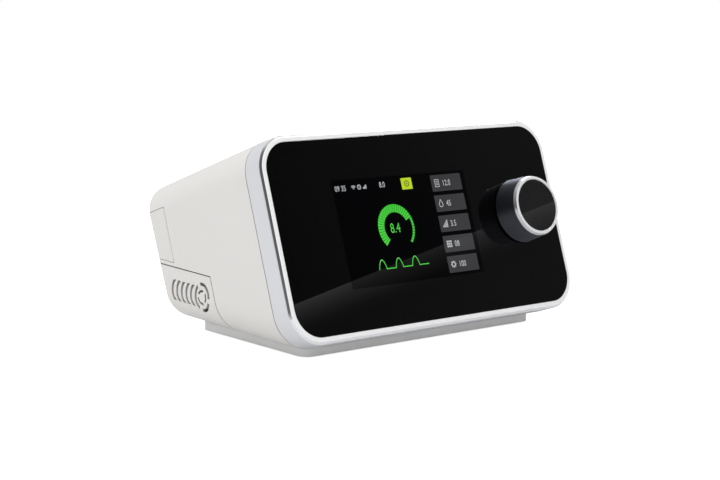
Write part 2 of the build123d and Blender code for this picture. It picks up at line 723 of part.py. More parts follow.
# Casing: a tapered shell that is open at the front and over the base tray
OUTLET_COLLAR_Y = rear_y(OUTLET_Z + SHOULDER_RADIUS + COLLAR_WALL) + COLLAR_PROUD
POWER_COLLAR_Y = rear_y(POWER_Z + POWER_RADIUS + COLLAR_WALL) + COLLAR_PROUD
with BuildPart() as case_shell:
    add(casing_skin(0, CASE_WALL))
    add(ring_lip(cover_zone(LIP_REACH, LIP_REACH), cover_zone(-LIP_REACH, -LIP_REACH)))
    add(ring_lip(door_zone(LIP_REACH, DOOR_INNER_X - LIP_REACH), door_zone(-LIP_REACH, DOOR_INNER_X)))
    for collar_y, inner_y, x, z, radius in (
        (OUTLET_COLLAR_Y, COLLAR_INNER_Y, OUTLET_X, OUTLET_Z, SHOULDER_RADIUS + FIT_GAP),
        (POWER_COLLAR_Y, POWER_COLLAR_INNER_Y, POWER_X, POWER_Z, POWER_RADIUS + FIT_GAP),
    ):
        with BuildSketch(REAR.offset(inner_y)):
            with Locations((-x, z)):
                Circle(radius + COLLAR_WALL)
        extrude(amount=collar_y - inner_y)
        with BuildSketch(REAR.offset(inner_y)):
            with Locations((-x, z)):
                Circle(radius)
        extrude(amount=collar_y - inner_y, mode=Mode.SUBTRACT)
    with BuildSketch(Plane.XY.offset(UNDERSIDE_Z)):
        with Locations(*screw_spots):
            Circle(BOSS_RADIUS)
    extrude(amount=BOSS_HEIGHT)
    with BuildSketch(Plane.XY.offset(UNDERSIDE_Z)):
        with Locations(*screw_spots):
            Circle(SCREW_RADIUS + THREAD_GAP)
    extrude(amount=BOSS_HEIGHT - BOSS_ROOF, mode=Mode.SUBTRACT)
    with BuildSketch(Plane.XY.offset(UNDERSIDE_Z)):
        with Locations((0, TRAY_MIDDLE_Y)):
            Rectangle(SLAB_WIDTH - 2 * TRAY_FLANGE, TRAY_DEPTH - 2 * TRAY_FLANGE)
    extrude(amount=CASE_WALL, mode=Mode.SUBTRACT)
    add(clipped(casing_skin(0, CASE_WALL), cover_zone(0, 0)), mode=Mode.SUBTRACT)
    add(clipped(casing_skin(0, CASE_WALL), door_zone(0, DOOR_INNER_X)), mode=Mode.SUBTRACT)
    add(door_rod(DOOR_PIN_RADIUS + THREAD_GAP), mode=Mode.SUBTRACT)
finish(case_shell.part, "case_shell")

# Intake cover: a piece of the same skin, with tabs behind it and the slotted grille


def inner_tab(low_y, high_y, low_z, high_z, right_x):
    """A clip tab that grows out of the inside of the left skin up to right_x."""
    return clipped(
        block(-SHELL_WIDTH / 2, right_x, low_y, high_y, low_z, high_z), casing_form(COVER_WALL / 2)
    )


def slotted_ring(half_width, half_height, slot, bridge, bridge_angles):
    """An elliptical slot, cut into arcs by bridges at the given angles."""
    with BuildSketch(mode=Mode.PRIVATE) as ring:
        Ellipse(half_width, half_height)
        Ellipse(half_width - slot, half_height - slot, mode=Mode.SUBTRACT)
        for angle in bridge_angles:
            with Locations(Location((0, 0), angle)):
                Rectangle(half_height * 2, bridge, align=(Align.MIN, Align.CENTER), mode=Mode.SUBTRACT)
    return ring.sketch


def arc_slot():
    """The rear arc of the ring alone, as long as the slots beside it."""
    with BuildSketch(mode=Mode.PRIVATE) as slot:
        Ellipse(RING_HALF_WIDTH, RING_HALF_HEIGHT)
        Ellipse(RING_HALF_WIDTH - RING_SLOT, RING_HALF_HEIGHT - RING_SLOT, mode=Mode.SUBTRACT)
        Rectangle(
            2 * RING_HALF_WIDTH,
            2 * SLOT_HALF_LENGTH,
            align=(Align.MIN, Align.CENTER),
            mode=Mode.INTERSECT,
        )
    return slot.sketch


cover_skin = clipped(casing_skin(0, COVER_WALL), cover_zone(-COVER_FRONT_GAP, -COVER_TOP_GAP))
outer_arcs = slotted_ring(RING_HALF_WIDTH, RING_HALF_HEIGHT, RING_SLOT, RING_BRIDGE, RING_BRIDGE_ANGLES)
inner_arcs = slotted_ring(INNER_RING, INNER_RING, INNER_SLOT, INNER_BRIDGE, INNER_BRIDGE_ANGLES)
rear_arc = arc_slot()
GRILLE = Plane(origin=(-SHELL_WIDTH, GRILLE_Y, GRILLE_Z), x_dir=(0, 1, 0), z_dir=(1, 0, 0))
with BuildPart() as intake_cover:
    add(cover_skin)
    foot_tab_y = leaning_y(COVER_DEPTH + LIP_REACH + FIT_GAP, FOOT_TAB_Z + TAB_SIZE)
    add(
        inner_tab(
            foot_tab_y, foot_tab_y + TAB_THICKNESS, FOOT_TAB_Z, FOOT_TAB_Z + TAB_SIZE, FOOT_TAB_X
        )
    )
    for y in TOP_TAB_SPOTS:
        add(inner_tab(y, y + TAB_SIZE, TOP_TAB_Z, TOP_TAB_Z + TAB_THICKNESS, TOP_TAB_X))
    with BuildSketch(GRILLE):
        add(outer_arcs)
        add(inner_arcs)
        for index in range(SLOT_COUNT):
            with Locations(((index + 1) * SLOT_PITCH, 0)):
                add(rear_arc)
    extrude(amount=SHELL_WIDTH + COVER_EDGE_X, mode=Mode.SUBTRACT)
finish(intake_cover.part, "intake_cover")

# Port door: a corner piece of the skin that wraps from the left side onto the rear,
# with a hinge barrel along its inner edge. The hinge leans with the rear wall, so the
# bevelled lower edge lets the door swing clear of the casing.
door_space = door_zone(-SEAM_GAP, DOOR_INNER_X - SEAM_GAP)
with BuildPart() as port_door:
    add(clipped(casing_skin(0, COVER_WALL), door_zone(-SEAM_GAP, DOOR_PIN_X)))
    add(door_bevel(), mode=Mode.SUBTRACT)
    add(clipped(door_rod(DOOR_BARREL_RADIUS, DOOR_BARREL_LOW), door_space))
    add(door_rod(DOOR_PIN_RADIUS + RUNNING_GAP), mode=Mode.SUBTRACT)
finish(port_door.part, "port_door")

# Hinge pin of the door, held in the casing above and below
finish(door_rod(DOOR_PIN_RADIUS), "door_pin")

# Port bay: the pocket behind the door, open to the rear and to the side
CARD_SLOT_WIDTH = CARD_WIDTH + 2 * CARD_GAP
CARD_SLOT_THICKNESS = CARD_THICKNESS + 2 * CARD_GAP
with BuildPart() as port_bay:
    add(casing_form(CASE_WALL + LIP_WALL + FIT_GAP))
    with BuildSketch(FRONT.offset(-BAY_FRONT)):
        with Locations((DOOR_INNER_X, BAY_LOW_RISE)):
            Rectangle(SHELL_WIDTH, DOOR_TOP_RISE - BAY_LOW_RISE, align=(Align.MAX, Align.MIN))
    extrude(amount=BAY_FRONT - FORM_DEPTH, mode=Mode.INTERSECT)
    with BuildSketch(FRONT.offset(-BAY_FRONT - BAY_WALL)):
        with Locations((DOOR_INNER_X - BAY_WALL, BAY_LOW_RISE + BAY_WALL)):
            Rectangle(
                SHELL_WIDTH,
                DOOR_TOP_RISE - BAY_LOW_RISE - 2 * BAY_WALL,
                align=(Align.MAX, Align.MIN),
            )
    extrude(amount=BAY_FRONT - FORM_DEPTH, mode=Mode.SUBTRACT)
    with BuildSketch(FRONT.offset(-BAY_FRONT)):
        with Locations((CARD_X, CARD_RISE)):
            Rectangle(CARD_SLOT_THICKNESS, CARD_SLOT_WIDTH)
    extrude(amount=-BAY_WALL, mode=Mode.SUBTRACT)
finish(port_bay.part, "port_bay")

# Memory card, standing on edge in its socket
CARD_END = BAY_FRONT + BAY_WALL + CARD_PROUD
with BuildPart() as memory_card:
    with BuildSketch(FRONT.offset(CARD_LENGTH - CARD_END)):
        with Locations((CARD_X, CARD_RISE)):
            Rectangle(CARD_THICKNESS, CARD_WIDTH)
    extrude(amount=-CARD_LENGTH)
    chamfer(memory_card.faces().sort_by(INWARD)[0].edges().sort_by(Axis.Z)[-1], SOCKET_WALL)
finish(memory_card.part, "memory_card")

# Card socket: a closed-ended sleeve on the bay's inner wall
with BuildPart() as card_socket:
    with BuildSketch(FRONT.offset(-BAY_FRONT)):
        with Locations((CARD_X, CARD_RISE)):
            Rectangle(CARD_SLOT_THICKNESS + 2 * SOCKET_WALL, CARD_SLOT_WIDTH + 2 * SOCKET_WALL)
    extrude(amount=CARD_LENGTH + SOCKET_WALL + FIT_GAP - BAY_WALL - CARD_PROUD)
    with BuildSketch(FRONT.offset(-BAY_FRONT)):
        with Locations((CARD_X, CARD_RISE)):
            Rectangle(CARD_SLOT_THICKNESS, CARD_SLOT_WIDTH)
    extrude(amount=CARD_LENGTH + FIT_GAP - BAY_WALL - CARD_PROUD, mode=Mode.SUBTRACT)
finish(card_socket.part, "card_socket")

# Base tray: a slab with a pocket, and an upstand that locates in the casing's floor
with BuildPart() as base_tray:
    with BuildSketch(Plane.XY.offset(FOOT_PROUD)) as slab_outline:
        with Locations((0, TRAY_MIDDLE_Y)):
            Rectangle(SLAB_WIDTH, TRAY_DEPTH)
        fillet(slab_outline.vertices().group_by(Axis.Y)[-1], SLAB_REAR_CORNER)
    extrude(amount=UNDERSIDE_Z - FOOT_PROUD)
    with BuildSketch(Plane.XY.offset(UNDERSIDE_Z)):
        with Locations((0, TRAY_MIDDLE_Y)):
            Rectangle(
                SLAB_WIDTH - 2 * TRAY_FLANGE - 2 * FIT_GAP,
                TRAY_DEPTH - 2 * TRAY_FLANGE - 2 * FIT_GAP,
            )
    extrude(amount=UPSTAND)
    with BuildSketch(Plane.XY.offset(TRAY_FLOOR_Z)):
        with Locations((0, TRAY_MIDDLE_Y)):
            Rectangle(
                SLAB_WIDTH - 2 * TRAY_FLANGE - 2 * FIT_GAP - 2 * TRAY_WALL,
                TRAY_DEPTH - 2 * TRAY_FLANGE - 2 * FIT_GAP - 2 * TRAY_WALL,
            )
    extrude(amount=TRAY_TOP_Z - TRAY_FLOOR_Z, mode=Mode.SUBTRACT)
    with BuildSketch(Plane.XY.offset(FOOT_PROUD)):
        with Locations(*screw_spots):
            Circle(SCREW_RADIUS + FIT_GAP)
    extrude(amount=UNDERSIDE_Z - FOOT_PROUD, mode=Mode.SUBTRACT)
    with BuildSketch(Plane.XY.offset(FOOT_PROUD)):
        with Locations(*screw_spots):
            Circle(SCREW_HEAD_RADIUS + FIT_GAP)
    extrude(amount=SCREW_HEAD_HEIGHT, mode=Mode.SUBTRACT)
    with BuildSketch(Plane.XY.offset(FOOT_PROUD)):
        with Locations(*foot_spots):
            Circle(FOOT_RADIUS)
    extrude(amount=FOOT_RECESS, mode=Mode.SUBTRACT)
    with BuildSketch(Plane.XY.offset(TRAY_FLOOR_Z)):
        with Locations(*standoff_spots):
            Circle(STANDOFF_RADIUS)
    extrude(amount=MAIN_BOARD_Z - TRAY_FLOOR_Z)
    with BuildSketch(Plane.XY.offset(MAIN_BOARD_Z)):
        with Locations(*standoff_spots):
            Circle(POST_SCREW_RADIUS + THREAD_GAP)
    extrude(amount=-POST_SCREW_LENGTH, mode=Mode.SUBTRACT)
finish(base_tray.part, "base_tray")

# Front strip of the base, in front of the tray
with BuildPart() as base_front_strip:
    with BuildSketch(Plane.XY.offset(FOOT_PROUD)) as strip_outline:
        with Locations((0, SLAB_FRONT_Y)):
            Rectangle(SLAB_WIDTH, TRIM_DEPTH, align=(Align.CENTER, Align.MIN))
        fillet(strip_outline.vertices().group_by(Axis.Y)[0], SLAB_FRONT_CORNER)
    extrude(amount=UNDERSIDE_Z - FOOT_PROUD)
finish(base_front_strip.part, "base_front_strip")

# Rubber feet, let into the slab
with BuildPart() as rubber_feet:
    with BuildSketch(Plane.XY):
        with Locations(*foot_spots):
            Circle(FOOT_RADIUS - RUNNING_GAP)
    extrude(amount=FOOT_PROUD + FOOT_RECESS)
finish(rubber_feet.part, "rubber_feet")

# Screws that hold the tray to the casing
with BuildPart() as case_screws:
    for x, y in screw_spots:
        with Locations((x, y, FOOT_PROUD)):
            add(screw(SCREW_RADIUS, SCREW_LENGTH, SCREW_HEAD_RADIUS, SCREW_HEAD_HEIGHT))
finish(case_screws.part, "case_screws")

# Intake chamber: it leads the air from the filter to the blower's eye and muffles it
with BuildPart() as intake_chamber:
    add(
        block(CHAMBER_LEFT_X, CHAMBER_RIGHT_X, CHAMBER_FRONT_Y, CHAMBER_REAR_Y, TRAY_TOP_Z, CHAMBER_TOP_Z)
    )
    add(block(-SHELL_WIDTH / 2, CHAMBER_LEFT_X, NECK_FRONT_Y, NECK_REAR_Y, NECK_LOW_Z, NECK_TOP_Z))
    add(casing_form(CASE_WALL + FIT_GAP), mode=Mode.INTERSECT)
    add(
        block(
            CHAMBER_LEFT_X + CHAMBER_WALL,
            CHAMBER_RIGHT_X - CHAMBER_WALL,
            CHAMBER_FRONT_Y + CHAMBER_WALL,
            CHAMBER_REAR_Y - CHAMBER_WALL,
            TRAY_TOP_Z + CHAMBER_WALL,
            CHAMBER_TOP_Z - CHAMBER_WALL,
        ),
        mode=Mode.SUBTRACT,
    )
    add(
        block(
            -SHELL_WIDTH,
            CHAMBER_LEFT_X + CHAMBER_WALL,
            NECK_FRONT_Y + CHAMBER_WALL,
            CHAMBER_REAR_Y - CHAMBER_WALL,
            NECK_LOW_Z + CHAMBER_WALL,
            NECK_TOP_Z - CHAMBER_WALL,
        ),
        mode=Mode.SUBTRACT,
    )
    add(
        block(
            -SHELL_WIDTH,
            CHAMBER_LEFT_X - CHAMBER_WALL,
            NECK_FRONT_Y + CHAMBER_WALL,
            NECK_REAR_Y - CHAMBER_WALL,
            NECK_LOW_Z + CHAMBER_WALL,
            NECK_TOP_Z - CHAMBER_WALL,
        ),
        mode=Mode.SUBTRACT,
    )
    add(shaft_column(CHAMBER_TOP_Z - CHAMBER_WALL, CHAMBER_TOP_Z, EYE_RADIUS), mode=Mode.SUBTRACT)
finish(intake_chamber.part, "intake_chamber")

# Foam on the chamber's floor
finish(
    block(
        CHAMBER_LEFT_X + CHAMBER_WALL + FOAM_GAP,
        CHAMBER_RIGHT_X - CHAMBER_WALL - FOAM_GAP,
        CHAMBER_FRONT_Y + CHAMBER_WALL + FOAM_GAP,
        CHAMBER_REAR_Y - CHAMBER_WALL - FOAM_GAP,
        TRAY_TOP_Z + CHAMBER_WALL,
        TRAY_TOP_Z + CHAMBER_WALL + FOAM_HEIGHT,
    ),
    "muffler_foam",
)

# Air filter in the chamber's neck
with BuildPart() as air_filter:
    add(
        block(
            FILTER_FACE_X,
            FILTER_FACE_X + FILTER_THICKNESS,
            NECK_FRONT_Y + CHAMBER_WALL + FOAM_GAP,
            NECK_REAR_Y - CHAMBER_WALL - FOAM_GAP,
            NECK_LOW_Z + CHAMBER_WALL + FOAM_GAP,
            NECK_TOP_Z - CHAMBER_WALL - FOAM_GAP,
        )
    )
    add(casing_form(CASE_WALL + 2 * FIT_GAP), mode=Mode.INTERSECT)
finish(air_filter.part, "air_filter")

# Soft mount under the blower
finish(shaft_column(CHAMBER_TOP_Z, SCROLL_Z, MOUNT_RADIUS, EYE_RADIUS), "blower_mount")

# Blower scroll, in two halves
with BuildPart() as scroll:
    add(shaft_column(SCROLL_Z, MOTOR_Z, SCROLL_RADIUS))
    add(rear_tube(OUTLET_X, OUTLET_Z, BLOWER_Y, PIPE_END_Y, PIPE_RADIUS))
    add(
        shaft_column(SCROLL_Z + SCROLL_WALL, MOTOR_Z - SCROLL_WALL, SCROLL_RADIUS - SCROLL_WALL),
        mode=Mode.SUBTRACT,
    )
    add(
        rear_tube(OUTLET_X, OUTLET_Z, BLOWER_Y, PIPE_END_Y, PIPE_RADIUS - PIPE_WALL),
        mode=Mode.SUBTRACT,
    )
    add(shaft_column(SCROLL_Z, SCROLL_Z + SCROLL_WALL, EYE_RADIUS), mode=Mode.SUBTRACT)
    add(
        shaft_column(
            MOTOR_Z - SCROLL_WALL,
            MOTOR_Z + BEARING_HEIGHT + BEARING_WEB - SCROLL_WALL,
            BEARING_RADIUS + BEARING_SEAT_WALL,
        )
    )
    add(
        shaft_column(
            MOTOR_Z + BEARING_WEB - SCROLL_WALL,
            MOTOR_Z + BEARING_HEIGHT + BEARING_WEB,
            BEARING_RADIUS + THREAD_GAP,
        ),
        mode=Mode.SUBTRACT,
    )
    add(
        shaft_column(MOTOR_Z - SCROLL_WALL, MOTOR_Z + BEARING_WEB, SHAFT_RADIUS + SHAFT_HOLE_GAP),
        mode=Mode.SUBTRACT,
    )
for name, keep in (("blower_base", Keep.BOTTOM), ("blower_cover", Keep.TOP)):
    with BuildPart() as half:
        add(scroll.part)
        split(bisect_by=Plane.XY.offset(OUTLET_Z), keep=keep)
    finish(half.part, name)

# Motor: housing, stator, magnet, bearings and shaft
MOTOR_TOP_Z = MOTOR_Z + MOTOR_HEIGHT
UPPER_SEAT_Z = MOTOR_TOP_Z - MOTOR_WALL - BEARING_HEIGHT
LOWER_SEAT_Z = MOTOR_Z + BEARING_WEB - SCROLL_WALL
STATOR_Z = MOTOR_Z + STATOR_LIFT
with BuildPart() as motor_housing:
    add(shaft_column(MOTOR_Z, MOTOR_TOP_Z, MOTOR_RADIUS))
    add(
        shaft_column(MOTOR_Z, MOTOR_TOP_Z - MOTOR_WALL, MOTOR_RADIUS - MOTOR_WALL),
        mode=Mode.SUBTRACT,
    )
    add(
        shaft_column(
            UPPER_SEAT_Z,
            MOTOR_TOP_Z - MOTOR_WALL,
            BEARING_RADIUS + BEARING_SEAT_WALL,
            BEARING_RADIUS + THREAD_GAP,
        )
    )
finish(motor_housing.part, "motor_housing")
finish(
    shaft_column(STATOR_Z, STATOR_Z + STATOR_HEIGHT, MOTOR_RADIUS - MOTOR_WALL - FIT_GAP, STATOR_BORE),
    "motor_stator",
)
finish(
    shaft_column(STATOR_Z, STATOR_Z + STATOR_HEIGHT, MAGNET_RADIUS, SHAFT_RADIUS + THREAD_GAP),
    "motor_magnet",
)
with BuildPart() as motor_bearings:
    for low in (LOWER_SEAT_Z, UPPER_SEAT_Z):
        add(shaft_column(low, low + BEARING_HEIGHT, BEARING_RADIUS, SHAFT_RADIUS + THREAD_GAP))
finish(motor_bearings.part, "motor_bearings")
IMPELLER_Z = SCROLL_Z + IMPELLER_LIFT
finish(
    shaft_column(IMPELLER_Z, MOTOR_TOP_Z - MOTOR_WALL - FIT_GAP, SHAFT_RADIUS),
    "motor_shaft",
)

# Impeller: a disc with swept blades under it
with BuildPart() as impeller:
    add(
        shaft_column(
            IMPELLER_Z + BLADE_HEIGHT,
            IMPELLER_Z + BLADE_HEIGHT + IMPELLER_DISC,
            IMPELLER_RADIUS,
        )
    )
    add(shaft_column(IMPELLER_Z, IMPELLER_Z + IMPELLER_HUB_HEIGHT, IMPELLER_HUB_RADIUS))
    with BuildSketch(Plane.XY.offset(IMPELLER_Z)):
        with Locations((BLOWER_X, BLOWER_Y)):
            with PolarLocations(BLADE_MIDDLE, BLADE_COUNT):
                Rectangle(BLADE_LENGTH, BLADE_THICKNESS, rotation=BLADE_SWEEP)
    extrude(amount=BLADE_HEIGHT)
    add(
        shaft_column(IMPELLER_Z, IMPELLER_Z + IMPELLER_HUB_HEIGHT, SHAFT_RADIUS + THREAD_GAP),
        mode=Mode.SUBTRACT,
    )
finish(impeller.part, "impeller")

# Soft coupling from the blower's pipe to the outlet
OUTLET_TAIL_Y = PIPE_END_Y + COUPLING_SPAN
finish(
    rear_tube(
        OUTLET_X,
        OUTLET_Z,
        PIPE_END_Y - COUPLING_GRIP,
        OUTLET_TAIL_Y + COUPLING_GRIP,
        PIPE_RADIUS + FIT_GAP + COUPLING_WALL,
        PIPE_RADIUS + FIT_GAP,
    ),
    "outlet_coupling",
)

# Air outlet: tail, flange behind the collar, shoulder in the collar and free spigot
SPIGOT_END_Y = OUTLET_COLLAR_Y + SPIGOT_LENGTH
with BuildPart() as air_outlet:
    for low_y, high_y, radius in (
        (OUTLET_TAIL_Y, COLLAR_INNER_Y, PIPE_RADIUS),
        (COLLAR_INNER_Y - OUTLET_FLANGE, COLLAR_INNER_Y, OUTLET_FLANGE_RADIUS),
        (COLLAR_INNER_Y, OUTLET_COLLAR_Y, SHOULDER_RADIUS),
        (OUTLET_COLLAR_Y, SPIGOT_END_Y, SPIGOT_RADIUS),
    ):
        add(rear_tube(OUTLET_X, OUTLET_Z, low_y, high_y, radius))
    chamfer(air_outlet.faces().sort_by(Axis.Y)[-1].edges(), SPIGOT_CHAMFER)
    add(
        rear_tube(OUTLET_X, OUTLET_Z, OUTLET_TAIL_Y, SPIGOT_END_Y, SPIGOT_BORE),
        mode=Mode.SUBTRACT,
    )
finish(air_outlet.part, "air_outlet")

# Power socket and its centre pin
POWER_FACE_Y = POWER_COLLAR_Y - FIT_GAP
with BuildPart() as power_socket:
    add(
        block(
            POWER_X - POWER_BODY / 2,
            POWER_X + POWER_BODY / 2,
            POWER_COLLAR_INNER_Y - POWER_BODY_LENGTH,
            POWER_COLLAR_INNER_Y,
            POWER_Z - POWER_BODY / 2,
            POWER_Z + POWER_BODY / 2,
        )
    )
    add(rear_tube(POWER_X, POWER_Z, POWER_COLLAR_INNER_Y, POWER_FACE_Y, POWER_RADIUS))
    add(
        rear_tube(POWER_X, POWER_Z, POWER_FACE_Y - POWER_BORE_DEPTH, POWER_FACE_Y, POWER_BORE),
        mode=Mode.SUBTRACT,
    )
finish(power_socket.part, "power_socket")
finish(
    rear_tube(
        POWER_X,
        POWER_Z,
        POWER_FACE_Y - POWER_BORE_DEPTH,
        POWER_FACE_Y - SPIGOT_CHAMFER,
        POWER_PIN_RADIUS,
    ),
    "power_pin",
)

# Main board on the tray's standoffs, its screws and the parts it carries
MAIN_BOARD_TOP_Z = MAIN_BOARD_Z + BOARD_THICKNESS
with BuildPart() as main_board:
    with BuildSketch(Plane.XY.offset(MAIN_BOARD_Z)):
        with Locations((MAIN_BOARD_X, MAIN_BOARD_Y)):
            Rectangle(MAIN_BOARD_WIDTH, MAIN_BOARD_DEPTH)
        with Locations(*standoff_spots):
            Circle(POST_SCREW_RADIUS + FIT_GAP, mode=Mode.SUBTRACT)
    extrude(amount=BOARD_THICKNESS)
finish(main_board.part, "main_board")
with BuildPart() as main_board_screws:
    for x, y in standoff_spots:
        with Locations(Location((x, y, MAIN_BOARD_TOP_Z + POST_SCREW_HEAD), (180, 0, 0))):
            add(screw(POST_SCREW_RADIUS, POST_SCREW_LENGTH, POST_RADIUS, POST_SCREW_HEAD))
finish(main_board_screws.part, "main_board_screws")
board_left = MAIN_BOARD_X - MAIN_BOARD_WIDTH / 2
board_front = MAIN_BOARD_Y - MAIN_BOARD_DEPTH / 2
with BuildPart() as board_components:
    for left, front, width, depth, height in BOARD_PARTS:
        low_x = board_left + left
        low_y = board_front + front
        add(block(low_x, low_x + width, low_y, low_y + depth, MAIN_BOARD_TOP_Z, MAIN_BOARD_TOP_Z + height))
finish(board_components.part, "board_components")
finish(
    column(BUZZER_X, BUZZER_Y, MAIN_BOARD_TOP_Z, MAIN_BOARD_TOP_Z + BUZZER_HEIGHT, BUZZER_RADIUS),
    "alarm_buzzer",
)
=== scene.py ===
# %% [markdown]
# # A bedside breathing machine
# The CAD model gives every solid of this machine in metres, with X to the right of the front,
# Y to the back and Z up. This lesson dresses those solids: it sets up a studio, builds the few
# pieces that need finer meshes than the CAD has, and gives each piece a procedural finish.
# Nothing that moves is placed by hand. Each new piece rides on the body that carries it.

# %% Load the frame
import json
import math

import bmesh
import bpy
from mathutils import Matrix, Vector


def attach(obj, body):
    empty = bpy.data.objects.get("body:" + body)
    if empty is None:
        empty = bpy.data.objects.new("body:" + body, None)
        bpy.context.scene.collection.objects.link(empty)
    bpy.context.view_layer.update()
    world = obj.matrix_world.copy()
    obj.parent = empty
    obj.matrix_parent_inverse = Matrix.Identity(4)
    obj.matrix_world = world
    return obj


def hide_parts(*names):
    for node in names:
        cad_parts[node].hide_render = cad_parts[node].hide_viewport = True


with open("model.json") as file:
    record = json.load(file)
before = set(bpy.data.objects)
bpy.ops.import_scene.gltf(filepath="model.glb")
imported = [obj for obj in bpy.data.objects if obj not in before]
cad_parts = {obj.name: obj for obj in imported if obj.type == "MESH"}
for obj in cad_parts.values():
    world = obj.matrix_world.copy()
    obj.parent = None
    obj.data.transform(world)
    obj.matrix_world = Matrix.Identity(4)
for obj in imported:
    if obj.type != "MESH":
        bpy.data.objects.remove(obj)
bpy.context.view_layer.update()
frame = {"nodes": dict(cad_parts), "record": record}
nodes = frame["nodes"]
MM = 0.001

# %% [markdown]
# ## The camera
# The picture was taken from the front left, a little above the machine, with a long lens.
# A camera can be aimed by a Track To constraint, but here its three axes are known, so they
# go straight into the columns of its matrix, and the lens follows from the angle of view.

# %% Camera
VIEW_RIGHT = Vector((0.7492390, -0.6618475, 0.0244712))
VIEW_UP = Vector((0.0862975, 0.1341928, 0.9871905))
VIEW_BACK = Vector((-0.6566534, -0.7375298, 0.1576583))
VIEW_POINT = Vector((-0.68932, -0.78042, 0.21400))
SENSOR_MM, LENS_MM = 36.0, 91.913

lens_data = bpy.data.cameras.new("studio_camera")
lens_data.sensor_width = SENSOR_MM
lens_data.lens = LENS_MM
camera = bpy.data.objects.new("studio_camera", lens_data)
view_turn = Matrix((VIEW_RIGHT, VIEW_UP, VIEW_BACK)).transposed().to_4x4()
camera.matrix_world = Matrix.Translation(VIEW_POINT) @ view_turn
bpy.context.scene.collection.objects.link(camera)
bpy.context.scene.camera = camera
print("camera at", tuple(VIEW_POINT), "lens", lens_data.lens)

# %% [markdown]
# ## Small builders
# Most meshes below come from lists of points, so one helper turns a finished bmesh into a piece
# of the scene. The others build shaders: they add a node and fill its sockets, mix two colours,
# map one range of values to another, do one sum, and turn a colour as seen on a screen into the
# linear numbers that shaders use.

# %% Helpers for meshes and nodes
NORMAL_WEIGHT = 100


def keep_mesh(name, mesh_maker, body, matrix=None):
    """Turns a bmesh into a piece that rides on a body, placed by a matrix if one is given."""
    bmesh.ops.recalc_face_normals(mesh_maker, faces=mesh_maker.faces)
    data = bpy.data.meshes.new(name)
    mesh_maker.to_mesh(data)
    mesh_maker.free()
    piece = bpy.data.objects.new(name, data)
    bpy.context.scene.collection.objects.link(piece)
    if matrix is not None:
        piece.matrix_world = matrix
    even = piece.modifiers.new("even_normals", "WEIGHTED_NORMAL")
    even.weight = NORMAL_WEIGHT
    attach(piece, body)
    print("made", name, "with", len(data.polygons), "faces")
    return piece


def add_node(tree, kind, inputs=None, **settings):
    """Adds a node, sets its options and fills or links its inputs."""
    made = tree.nodes.new(kind)
    for option, value in settings.items():
        setattr(made, option, value)
    for socket, value in (inputs or {}).items():
        if isinstance(value, bpy.types.NodeSocket):
            tree.links.new(value, made.inputs[socket])
        else:
            made.inputs[socket].default_value = value
    return made


def blend(tree, share, first, second):
    """Mixes two colours. A share of 0 gives the first and 1 the second."""
    mixer = add_node(tree, "ShaderNodeMix", {0: share, 6: first, 7: second}, data_type="RGBA")
    return mixer.outputs[2]


def remap(tree, value, low, high, to_low=0.0, to_high=1.0, **settings):
    """Maps the range from low to high to the range from to_low to to_high."""
    ranges = {"Value": value, "From Min": low, "From Max": high,
              "To Min": to_low, "To Max": to_high}
    return add_node(tree, "ShaderNodeMapRange", ranges, **settings).outputs[0]


def compute(tree, operation, first, second=0.0, third=0.0):
    """One Math node, by the name of its operation."""
    inputs = {0: first, 1: second, 2: third}
    return add_node(tree, "ShaderNodeMath", inputs, operation=operation).outputs[0]


def tone(red, green, blue):
    """A colour given as 0 to 255 on the screen, as linear RGBA by the sRGB curve."""
    parts = [c / 255 for c in (red, green, blue)]
    linear = [c / 12.92 if c <= 0.04045 else ((c + 0.055) / 1.055) ** 2.4 for c in parts]
    return tuple(linear) + (1.0,)


def grey(shade):
    """A linear grey as RGBA."""
    return (shade, shade, shade, 1.0)

# %% [markdown]
# ## Shared surface effects
# Moulded plastic is never quite even: it has a fine grain and faint cloudy changes of shade.
# Handled gloss carries a film of smudges, and turned metal has rings from the lathe.
# Each of these is one node group with named inputs, placed in many materials with other values.
# The groups read object coordinates, so an effect stays fixed to its piece when it moves.

# %% Group maker
def new_group(name, inputs, outputs):
    """A shader node group of plain numbers. inputs gives each label its default value."""
    group = bpy.data.node_groups.new(name, "ShaderNodeTree")
    for label, value in inputs.items():
        socket = group.interface.new_socket(label, in_out="INPUT", socket_type="NodeSocketFloat")
        socket.default_value = value
    for label in outputs:
        group.interface.new_socket(label, in_out="OUTPUT", socket_type="NodeSocketFloat")
    start = group.nodes.new("NodeGroupInput")
    end = group.nodes.new("NodeGroupOutput")
    return group, start.outputs, end.inputs

# %% [markdown]
# The mould gives the casing its grain, and the plastic's flow gives it the clouds. Both are
# noise, one fine and one coarse. An image could hold them too, but noise has no seam to hide.

# %% Moulded grain
grain_group, given, wanted = new_group(
    "moulded_grain", {"Scale": 900.0, "Cloud Scale": 14.0}, ["Height", "Cloud"])
place = add_node(grain_group, "ShaderNodeTexCoord").outputs["Object"]
for label, detail, result in (("Scale", 3.0, "Height"), ("Cloud Scale", 2.0, "Cloud")):
    noise = add_node(grain_group, "ShaderNodeTexNoise",
                     {"Vector": place, "Scale": given[label], "Detail": detail})
    grain_group.links.new(noise.outputs[0], wanted[result])
print("group", grain_group.name)

# %% [markdown]
# Fingers leave streaky patches that make a gloss a little duller. Bent noise looks like them,
# and the lower part of its range is cut away so that most of the surface stays clean.

